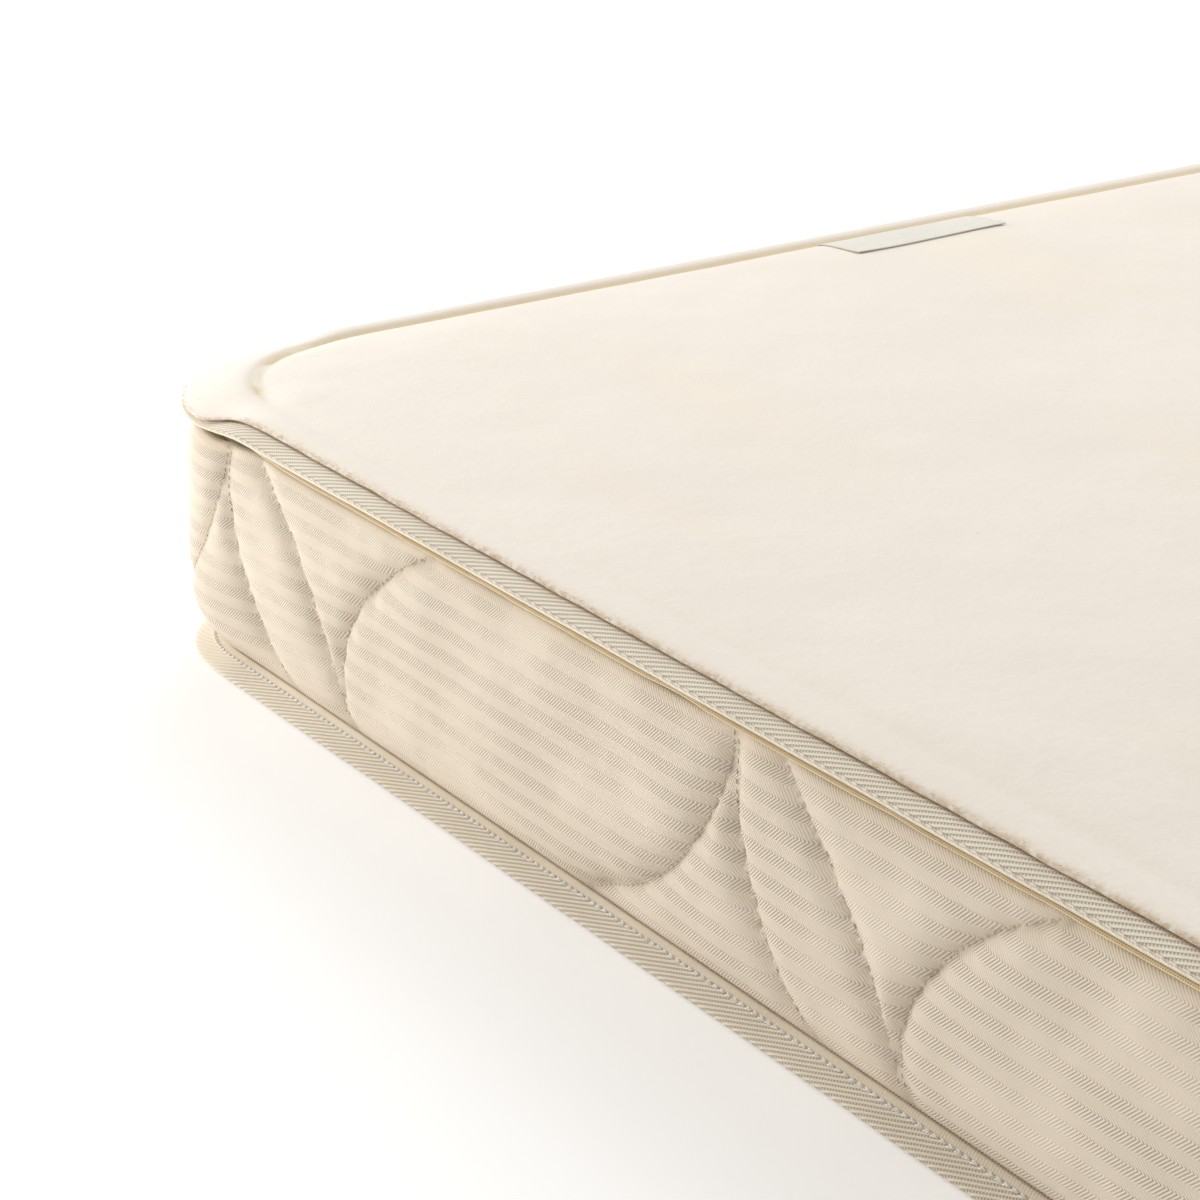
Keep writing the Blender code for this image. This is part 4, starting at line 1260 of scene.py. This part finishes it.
        # Seam mark for the ticking's painted shade: it fades out from each sewn line, is strongest at the
        # lower seam, and gives a flat share to the hidden back.
        seam = np.hstack([0.5 * np.exp(-gaps / 0.0016), np.full(back.shape, 0.3)])
        seam[:, 0] = 0.8
        rises = np.concatenate([rise, rise[rows][::-1], rise[:1]])
        wall = sweep("border_ticking_cloth", stations, np.hstack([insets, back]),
                     np.hstack([levels, levels[:, rows][:, ::-1]]), finish, rises, {"seam": seam})
        inner = rows[1:-2]
        front = np.minimum(deepest[:, 1:-2] + self.cloth + self.wadding_gap, self.wadding_back - 0.001)
        sides = np.full((count, 1), self.wadding_back)
        low, high = levels[:, inner[:1]], np.minimum(levels[:, inner[-1:]], self.levels.border_high - 0.002)
        pad = sweep("border_wadding_pad", stations, np.hstack([front, sides, sides]),
                    np.hstack([levels[:, inner[:-1]], high, high, low]), filling)
        return wall, pad

    def build_stitches(self, finish: bpy.types.Material) -> Piece:
        """Build the quilting thread, a dash for each stitch."""
        fine = self.levels.rim.stations(self.step, self.corner_steps)
        insets, levels, _, _ = self.form(fine)
        span = fine.length
        order = np.concatenate([fine.run, fine.run[:1] + span])
        starts, ends, lifts = [], [], []
        face = self.section()
        front = slice(int(np.argmin(np.abs(face[:, 1] - self.face_foot))), int(np.argmax(face[:, 1])))
        for line in self.sewn(fine):
            along = self.respaced(line, self.stitch_pitch)
            shift = self.stitch_length / self.stitch_pitch
            for here, there in zip(along[:-1], along[1:]):
                middle = (here + there) / 2
                lower, upper = min(here[1], there[1]), max(here[1], there[1])
                if not (self.lowest_stitch < lower and upper < self.highest_stitch):
                    continue
                if not order[0] <= middle[0] < order[-1]:
                    continue
                end = here + (there - here) * shift
                pair = [self.on_face(fine, order, insets[:, front], levels[:, front], spot)
                        for spot in (here, end)]
                starts.append(pair[0][0])
                ends.append(pair[1][0])
                lifts.append((pair[0][1] + pair[1][1]) / 2)
        points, faces = stitches(np.array(starts), np.array(ends), np.array(lifts), self.thread_radius,
                                 0.0003)
        return make_piece("quilting_thread", points, faces, finish)

    @staticmethod
    def on_face(stations: Stations, order: Array, insets: Array, levels: Array,
                spot: Array) -> Tuple[Array, Array]:
        """Return the point of the ticking's face at a run and level, and its outward direction."""
        count = len(stations.run)
        run = float(np.clip(spot[0], order[0], order[-1] - 1e-6))
        at = min(int(np.searchsorted(order, run, side="right")) - 1, count - 1)
        share = (run - order[at]) / (order[at + 1] - order[at])
        after = (at + 1) % count
        inset = [float(np.interp(spot[1], levels[k], insets[k])) for k in (at, after)]
        centre = stations.centre[at] * (1 - share) + stations.centre[after] * share
        outward = stations.outward[at] * (1 - share) + stations.outward[after] * share
        outward = outward / np.linalg.norm(outward)
        reach = stations.radius - inset[0] * (1 - share) - inset[1] * share
        return np.array([*(centre + outward * reach), spot[1]]), np.array([*outward, 0.0])


@dataclass
class Pleat:
    """The top strip of the border: a flat pleat that hides the zip, then a short fall to the zip's tape."""

    levels: Levels
    cloth: float = 0.0005
    tuck: float = 0.0042
    hang: float = 0.0024
    step: float = 0.0070

    def build(self, finish: bpy.types.Material) -> Piece:
        """Build the strip, tucked in at the corners."""
        seam, top = 0.0128, self.levels.tape_bottom
        path = rounded_path([(seam, top - 0.0006), (0.0060, top - 0.0010), (0.0024, top - 0.0016),
                             (0.0015, top - 0.0022), (0.0024, top - 0.0029), (0.0060, top - 0.0030),
                             (seam - 0.0002, top - 0.0031), (seam, top - 0.0035), (seam, top - 0.0046)])
        section, along = folded(path, self.cloth)
        stations = self.levels.rim.stations(self.step, 24)
        share = np.clip((seam - section[:, 0]) / (seam - 0.0015), 0.0, 1.0)
        tuck = self.tuck * stations.corner_share(0.075)
        sway = 0.0003 * rolling(stations.run, 0.0 * stations.run, 0.040, 17)
        insets = section[None, :, 0] + (tuck + np.abs(sway))[:, None] * share[None, :]
        hang = self.hang * stations.corner_share(self.levels.sag_reach)
        levels = section[None, :, 1] + (0.6 * sway)[:, None] * share[None, :] - hang[:, None]
        return sweep("zip_cover_pleat", stations, insets, levels, finish, along)


@dataclass
class ZipChain:
    """The zip that joins the cover's top to its border: two woven tapes with a moulded coil on each."""

    levels: Levels
    tooth_pitch: float = 0.0013
    end_gap: float = 0.0160
    tape_gap: float = 0.0012
    tooth_waist: float = 0.30

    def tape(self, name: str, node: str, finish: bpy.types.Material) -> Piece:
        """Build one woven tape in its node's place."""
        low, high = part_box(node)
        inset = self.levels.rim.half_width - high.y
        path = np.linspace((inset, high.z), (inset, low.z), 7)
        path[:, 0] += 0.0002 * np.sin(np.linspace(0.0, math.pi, 7))
        section, along = folded(path, -0.0006)
        stations = self.levels.rim.stations(0.010, 16, self.tape_gap)
        count = len(stations.run)
        return sweep(name, stations, np.repeat(section[None, :, 0], count, 0),
                     np.repeat(section[None, :, 1], count, 0), finish, along)

    def coil(self, name: str, node: str, finish: bpy.types.Material) -> Piece:
        """Build one coil, waisted between its turns."""
        low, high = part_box(node)
        inset = self.levels.rim.half_width - high.y
        middle, half, depth = (low.z + high.z) / 2, (high.z - low.z) / 2, 0.0013
        section = np.array([(0.0, -0.55), (0.0, 0.55), (0.4, 1.0), (1.0, 0.7), (1.0, -0.7), (0.4, -1.0)])
        stations = self.levels.rim.stations(self.tooth_pitch / 2, 64, self.end_gap)
        waist = np.where(np.arange(len(stations.run)) % 2, self.tooth_waist, 0.0)[:, None]
        insets = inset + depth * (section[None, :, 0] * (1 - waist) + waist * 0.35)
        levels = middle + half * section[None, :, 1] * (1 - waist)
        return sweep(name, stations, insets, levels, finish)


@dataclass
class Filling:
    """What lies in the cover: wool, latex and coir in a calico sleeve, with wadding above and below."""

    levels: Levels
    panel: TopPanel

    def slab(self, node: str, finish: bpy.types.Material, rounding: float, wave: float, relief: float,
             step: float = 0.012) -> Piece:
        """Build one layer in its node's place.

        Args:
            node: The node that gives its box.
            finish: Its material.
            rounding: How far its edges are rounded.
            wave: Distance between the hollows of its face.
            relief: Depth of the hollows.
            step: Mesh spacing.

        Returns:
            The new object.
        """
        low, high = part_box(node)
        radius = max(self.levels.rim.radius - (self.levels.rim.half_width - high.y), 0.004)
        outline = Outline(high.x, high.y, radius)
        turn = min(rounding, (high.z - low.z) * 0.48)
        edge = [(turn, low.z), (0.3 * turn, low.z + 0.3 * turn), (0.0, low.z + turn),
                (0.0, high.z - turn - relief), (0.3 * turn, high.z - 0.3 * turn - relief)]
        seed = len(node)

        def face(x: Array, y: Array, depth: Array) -> Array:
            """Return the level of the layer's face."""
            waves = np.clip(rolling(x, y, wave, seed) * 0.4 - 0.6, -1.5, 0.0)
            return high.z + relief * waves * np.clip(depth / radius, 0.2, 1.0)

        rings = [max(turn, 0.0008), radius * 0.45, radius * 0.75]
        return Layer(outline, edge, rings, face, step, 10).build(node + "_made", finish)

    def top_wadding(self, finish: bpy.types.Material) -> Piece:
        """Build the wadding that fills out the sleeping face."""
        low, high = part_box("top_wadding")
        radius = self.levels.rim.radius - (self.levels.rim.half_width - high.y)
        outline = Outline(high.x, high.y, radius)
        inset = self.levels.rim.half_width - high.y
        under = self.panel.cloth + 0.0004

        def face(x: Array, y: Array, depth: Array) -> Array:
            """Return the level just under the sleeping face."""
            return self.panel.height(x, y, depth + inset) - under

        edge = [(0.0012, low.z), (0.0, low.z + 0.0010), (0.0006, low.z + 0.0022)]
        return Layer(outline, edge, [0.003, 0.010, 0.018], face, 0.012, 10).build("top_wadding_made", finish)

    def sleeve(self, finish: bpy.types.Material) -> Piece:
        """Build the calico sleeve, open at its far end."""
        low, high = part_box("inner_sleeve")
        radius = self.levels.rim.radius - (self.levels.rim.half_width - high.y)
        outline = Outline(high.x, high.y, radius)
        edge = [(0.0030, low.z), (0.0008, low.z + 0.0008), (0.0, low.z + 0.0030)]
        edge += [(0.0004 + 0.0003 * math.sin(k * 1.7), level) for k, level in
                 enumerate(np.linspace(low.z + 0.012, high.z - 0.012, 6))]
        edge += [(0.0003, high.z - 0.0036), (0.0010, high.z - 0.0014)]

        def face(x: Array, y: Array, depth: Array) -> Array:
            """Return the level of the sleeve's top, creased along its length."""
            waves = rolling(x * 0.35, y, 0.060, 41) * 0.5 + rolling(x, y, 0.180, 43) * 0.5
            inward = np.clip(depth / radius, 0.1, 1.0)
            return high.z - 0.0006 + 0.0005 * np.clip(waves - 0.2, -2.0, 1.0) * inward

        layer = Layer(outline, edge, [0.003, 0.010, 0.020, 0.030], face, 0.009, 14)
        piece = layer.build("calico_sleeve", finish)
        self.open_mouth(piece, high, low)
        return piece

    @staticmethod
    def open_mouth(piece: Piece, high: Vector, low: Vector) -> None:
        """Take the end wall out of the sleeve and give its cloth thickness."""
        margin, thickness = 0.008, 0.0006
        shell = bmesh.new()
        shell.from_mesh(piece.data)
        wall = [face for face in shell.faces
                if face.normal.x > 0.9 and low.z + margin < face.calc_center_median().z < high.z - margin]
        bmesh.ops.delete(shell, geom=wall, context="FACES")
        shell.to_mesh(piece.data)
        shell.free()
        solid = piece.modifiers.new("cloth", "SOLIDIFY")
        solid.thickness, solid.offset = thickness, -1.0


@dataclass
class Labels:
    """The plain woven label on the sleeping face and the plain care label on the far side."""

    levels: Levels
    panel: TopPanel
    border: Border
    cloth: float = 0.0004

    def woven(self, finish: bpy.types.Material) -> Piece:
        """Build the woven label, lying on the face with one edge tucked in the crease."""
        low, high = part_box("woven_label")
        x, y = np.meshgrid(np.linspace(low.x, high.x, 28), np.linspace(low.y, high.y, 61), indexing="ij")
        lift = 0.00012 + 0.00022 * np.clip((x - low.x) / (high.x - low.x), 0, 1) ** 2
        lift = lift * (1.0 + 0.8 * np.abs(y / high.y) ** 3)
        level = self.panel.height(x, y, self.levels.rim.half_length + x) + self.cloth + lift
        level[0] -= 0.0004
        return cloth_patch("woven_label_cloth", np.stack([x, y, level], -1), np.array([0.0, 0.0, 1.0]),
                           self.cloth, finish)

    def care(self, finish: bpy.types.Material) -> Piece:
        """Build the care label, caught in the lower seam and lying up the border."""
        low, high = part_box("care_label")
        face = self.border.section()
        path = face[(face[:, 1] > low.z) & (face[:, 1] < high.z)]
        levels = np.linspace(low.z, high.z, 26)
        insets = np.interp(levels, path[:, 1], path[:, 0]) - self.cloth - 0.0006
        x, level = np.meshgrid(np.linspace(low.x, high.x, 13), levels, indexing="ij")
        y = self.levels.rim.half_width - insets[None, :] + 0.0004 * np.sin((x - low.x) * 190.0)
        return cloth_patch("care_label_cloth", np.stack([x, y, level], -1), np.array([0.0, 1.0, 0.0]),
                           self.cloth, finish)

    def flap(self, finish: bpy.types.Material) -> Piece:
        """Build the flap that guards the zip's ends."""
        low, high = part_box("zip_garage_flap")
        x, level = np.meshgrid(np.linspace(low.x, high.x, 29), np.linspace(low.z, high.z, 9), indexing="ij")
        y = high.y - 0.00015 + 0.00012 * np.sin(x * 420.0) * (high.z - level) / (high.z - low.z)
        return cloth_patch("zip_garage_flap_cloth", np.stack([x, y, level], -1), np.array([0.0, 1.0, 0.0]),
                           0.0006, finish)


@dataclass
class Studio:
    """Floor, lights and camera."""

    camera_at: Point = (0.2446, -0.7945, 0.4276)
    camera_azimuth: float = 55.246
    camera_pitch: float = 22.153
    lens: float = 88.76

    def build(self, finish: bpy.types.Material) -> None:
        """Build the studio."""
        scene = bpy.context.scene
        scene.view_settings.view_transform = "Standard"
        bpy.ops.object.select_all(action="DESELECT")
        bpy.ops.mesh.primitive_plane_add(size=14.0, location=(0.0, 0.0, -0.0002))
        floor = bpy.context.object
        floor.name = "studio_floor"
        floor.data.materials.append(finish)
        camera = bpy.data.objects.new("camera", bpy.data.cameras.new("camera"))
        camera.data.lens = self.lens
        camera.data.sensor_width = 36.0
        camera.data.clip_start, camera.data.clip_end = 0.02, 30.0
        camera.location = self.camera_at
        camera.rotation_euler = Euler((math.radians(90.0 - self.camera_pitch), 0.0,
                                       math.radians(self.camera_azimuth)))
        scene.collection.objects.link(camera)
        scene.camera = camera
        self.softbox("key_light", (-1.6, 1.5, 2.1), (-0.45, -0.05, 0.05), 2.2, 42.0)
        self.softbox("side_light", (-1.40, -0.85, 0.24), (-0.62, -0.30, 0.05), 0.6, 9.0)
        world = bpy.data.worlds.new("studio")
        world.use_nodes = True
        background = world.node_tree.nodes["Background"]
        background.inputs["Color"].default_value = (1.0, 0.99, 0.972, 1.0)
        background.inputs["Strength"].default_value = 0.61
        scene.world = world

    @staticmethod
    def softbox(name: str, place: Point, target: Point, size: float, power: float) -> None:
        """Add one soft square light aimed at a target."""
        light = bpy.data.lights.new(name, "AREA")
        light.size = size
        light.energy = power
        lamp = bpy.data.objects.new(name, light)
        lamp.location = place
        lamp.visible_camera = False
        lamp.rotation_euler = (Vector(target) - Vector(place)).to_track_quat("-Z", "Y").to_euler()
        bpy.context.scene.collection.objects.link(lamp)


def build_cover(levels: Levels, wadding: bpy.types.Material) -> None:
    """Build the visible cover: top panel, tapes, quilted border and labels."""
    brushed = BrushedCotton().material()
    panel = TopPanel(levels)
    cloth = join_up(panel.build(brushed), Body.COVER, Slot.BRUSHED_COTTON, "top_panel")
    join_up(panel.build_fringe(SewingThread("lip_fibre", (0.66, 0.50, 0.32)).material()), Body.COVER,
            Slot.BRUSHED_COTTON)
    tape = EdgeTape(levels, hang=0.0024, flatten=0.55, bare=1.0)
    top, low = levels.tape_top, levels.tape_bottom
    upper_path = [(0.0090, top - 0.0002), (0.0068, top - 0.0002), (0.0040, top - 0.0011),
                  (0.0012, top - 0.0024), (0.0001, top - 0.0032), (0.0002, low + 0.0004),
                  (0.0012, low - 0.0001), (0.0085, low + 0.0001)]
    cut = (0.025, levels.rim.perimeter())
    twill = TwillTape("twill_tape").material()
    upper = join_up(tape.build("top_tape_twill", upper_path, (0.0003, top - 0.0029), twill, (0.0060, 0.0066)),
                    Body.COVER, Slot.TWILL_TAPE, "top_edge_tape")
    lower_path = [(0.0125, 0.0049), (0.0095, 0.0046), (0.0050, 0.0031), (0.0012, 0.0019), (0.0001, 0.0012),
                  (0.0005, 0.0002), (0.0020, 0.0001), (0.0125, 0.0001)]
    lower = TwillTape("twill_tape_lower", pitch=0.0040, lean=2.05, crest=0.62, plain_under=0.0)
    tape = EdgeTape(levels, bare=0.8, smooth_from=0.0081)
    twill = lower.material()
    under = join_up(tape.build("bottom_tape_twill", lower_path, (0.0001, 0.0008), twill, (0.0118, 0.0126)),
                    Body.BASE, Slot.TWILL_TAPE, "bottom_edge_tape")
    white = SewingThread("chain_thread", (0.98, 0.965, 0.93)).material()
    join_up(tape.build_chain("tape_chain_stitch", lower_path, 0.0076, white), Body.BASE, Slot.TWILL_TAPE)
    border = Border(levels)
    ticking = Ticking().material()
    wall, pad = border.build(ticking, wadding)
    join_up(wall, Body.BASE, Slot.TICKING, "border_ticking")
    join_up(pad, Body.BASE, Slot.WADDING, "border_wadding")
    join_up(border.build_stitches(SewingThread("quilting_thread", (0.76, 0.66, 0.50)).material()), Body.BASE,
            Slot.TICKING)
    pleat_cloth = PlainWeave("pleat_ticking", (0.88, 0.715, 0.45), 0.0008, 0.00012)
    join_up(Pleat(levels).build(pleat_cloth.material()), Body.COVER, Slot.TICKING, "top_border_strip")
    labels = Labels(levels, panel, border)
    satin = PlainWeave("satin_label", (0.93, 0.905, 0.825), 0.00045, 0.00006, 0.62, 0.2).material()
    label = join_up(labels.woven(satin), Body.COVER, Slot.SATIN_LABEL, "woven_label")
    label = join_up(labels.care(satin), Body.BASE, Slot.SATIN_LABEL, "care_label")
    join_up(labels.flap(ticking), Body.COVER, Slot.TICKING, "zip_garage_flap")


def build_zip(levels: Levels) -> None:
    """Build the zip's tapes and coils, and finish its metal and moulded parts."""
    chain = ZipChain(levels)
    woven = PlainWeave("zip_tape", (0.80, 0.72, 0.56), 0.00060, 0.00010).material()
    nylon, nickel = Nylon().material(), Nickel().material()
    for side, body in (("upper", Body.COVER), ("lower", Body.BASE)):
        tape, coil = f"{side}_zip_tape", f"{side}_zip_coil"
        join_up(chain.tape(f"{tape}_woven", tape, woven), body, Slot.NYLON, tape)
        join_up(chain.coil(f"{coil}_turns", coil, nylon), body, Slot.NYLON, coil)
    finishes = {"zip_slider": nickel, "zip_pull": nickel, "lower_end_stop": nickel, "upper_end_stop": nickel,
                "zip_retainer_box": nickel, "zip_insertion_pin": nickel}
    for name, finish in finishes.items():
        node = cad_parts[name]
        if not node.material_slots:
            node.data.materials.append(finish)
        for place in node.material_slots:
            place.material = finish


def build_inside(levels: Levels, wadding: bpy.types.Material, calico: bpy.types.Material) -> None:
    """Build the sleeve, its filling, and the cover's hidden cloths."""
    filling = Filling(levels, TopPanel(levels))
    wool = Fleece("wool_batt", (0.86, 0.80, 0.68), 40.0, 380.0).material()
    latex, coir = Latex().material(), Coir().material()
    for node, finish, rounding, wave, relief, slot in (
            ("wool_layer_bottom", wool, 0.0019, 0.040, 0.0005, Slot.WOOL),
            ("latex_layer_bottom", latex, 0.0012, 0.200, 0.0001, Slot.LATEX),
            ("coir_core", coir, 0.0030, 0.030, 0.0003, Slot.COIR),
            ("latex_layer_top", latex, 0.0012, 0.200, 0.0001, Slot.LATEX),
            ("wool_layer_top", wool, 0.0019, 0.040, 0.0005, Slot.WOOL),
            ("bottom_wadding", wadding, 0.0018, 0.050, 0.0006, Slot.WADDING)):
        layer = filling.slab(node, finish, rounding, wave, relief)
        join_up(layer, Body.BASE, slot, node)
    join_up(filling.top_wadding(wadding), Body.COVER, Slot.WADDING, "top_wadding")
    sleeve = join_up(filling.sleeve(calico), Body.BASE, Slot.CALICO, "inner_sleeve")
    backing = filling.slab("top_backing", calico, 0.0002, 0.120, 0.0001)
    join_up(backing, Body.COVER, Slot.CALICO, "top_backing")
    lining = EdgeTape(levels, cloth=0.0005, step=0.012, corner_steps=16, slack=0.0)
    path = [(0.0150, 0.0850), (0.0152, 0.0600), (0.0150, 0.0300), (0.0150, 0.0034)]
    cloth = join_up(lining.build("border_lining_cloth", path, (0.0150, 0.0034), calico, (1.0, 2.0)),
                    Body.BASE, Slot.CALICO, "border_lining")
    levels.rim.perimeter(0.0150)
    rim = levels.rim
    edge = [(0.0130, 0.0002), (0.0127, 0.0008), (0.0130, 0.0013)]
    under = Layer(rim, edge, [0.0150, 0.0250, 0.0400], lambda x, y, depth: 0.0014 + 0.0 * x, 0.012, 14)
    below = join_up(under.build("bottom_panel_cloth", calico), Body.BASE, Slot.CALICO, "bottom_panel")


def main() -> None:
    """Build every piece in order, then the studio round them."""
    logging.basicConfig(level=logging.INFO, format="%(message)s")
    levels = Levels.from_frame()
    wadding = Fleece("cotton_wadding", (0.90, 0.87, 0.80)).material()
    calico = PlainWeave("calico", (0.82, 0.75, 0.62), 0.00095, 0.00018).material()
    build_cover(levels, wadding)
    build_zip(levels)
    build_inside(levels, wadding, calico)
    Studio().build(StudioFloor().material())


if __name__ == "__main__":
    main()
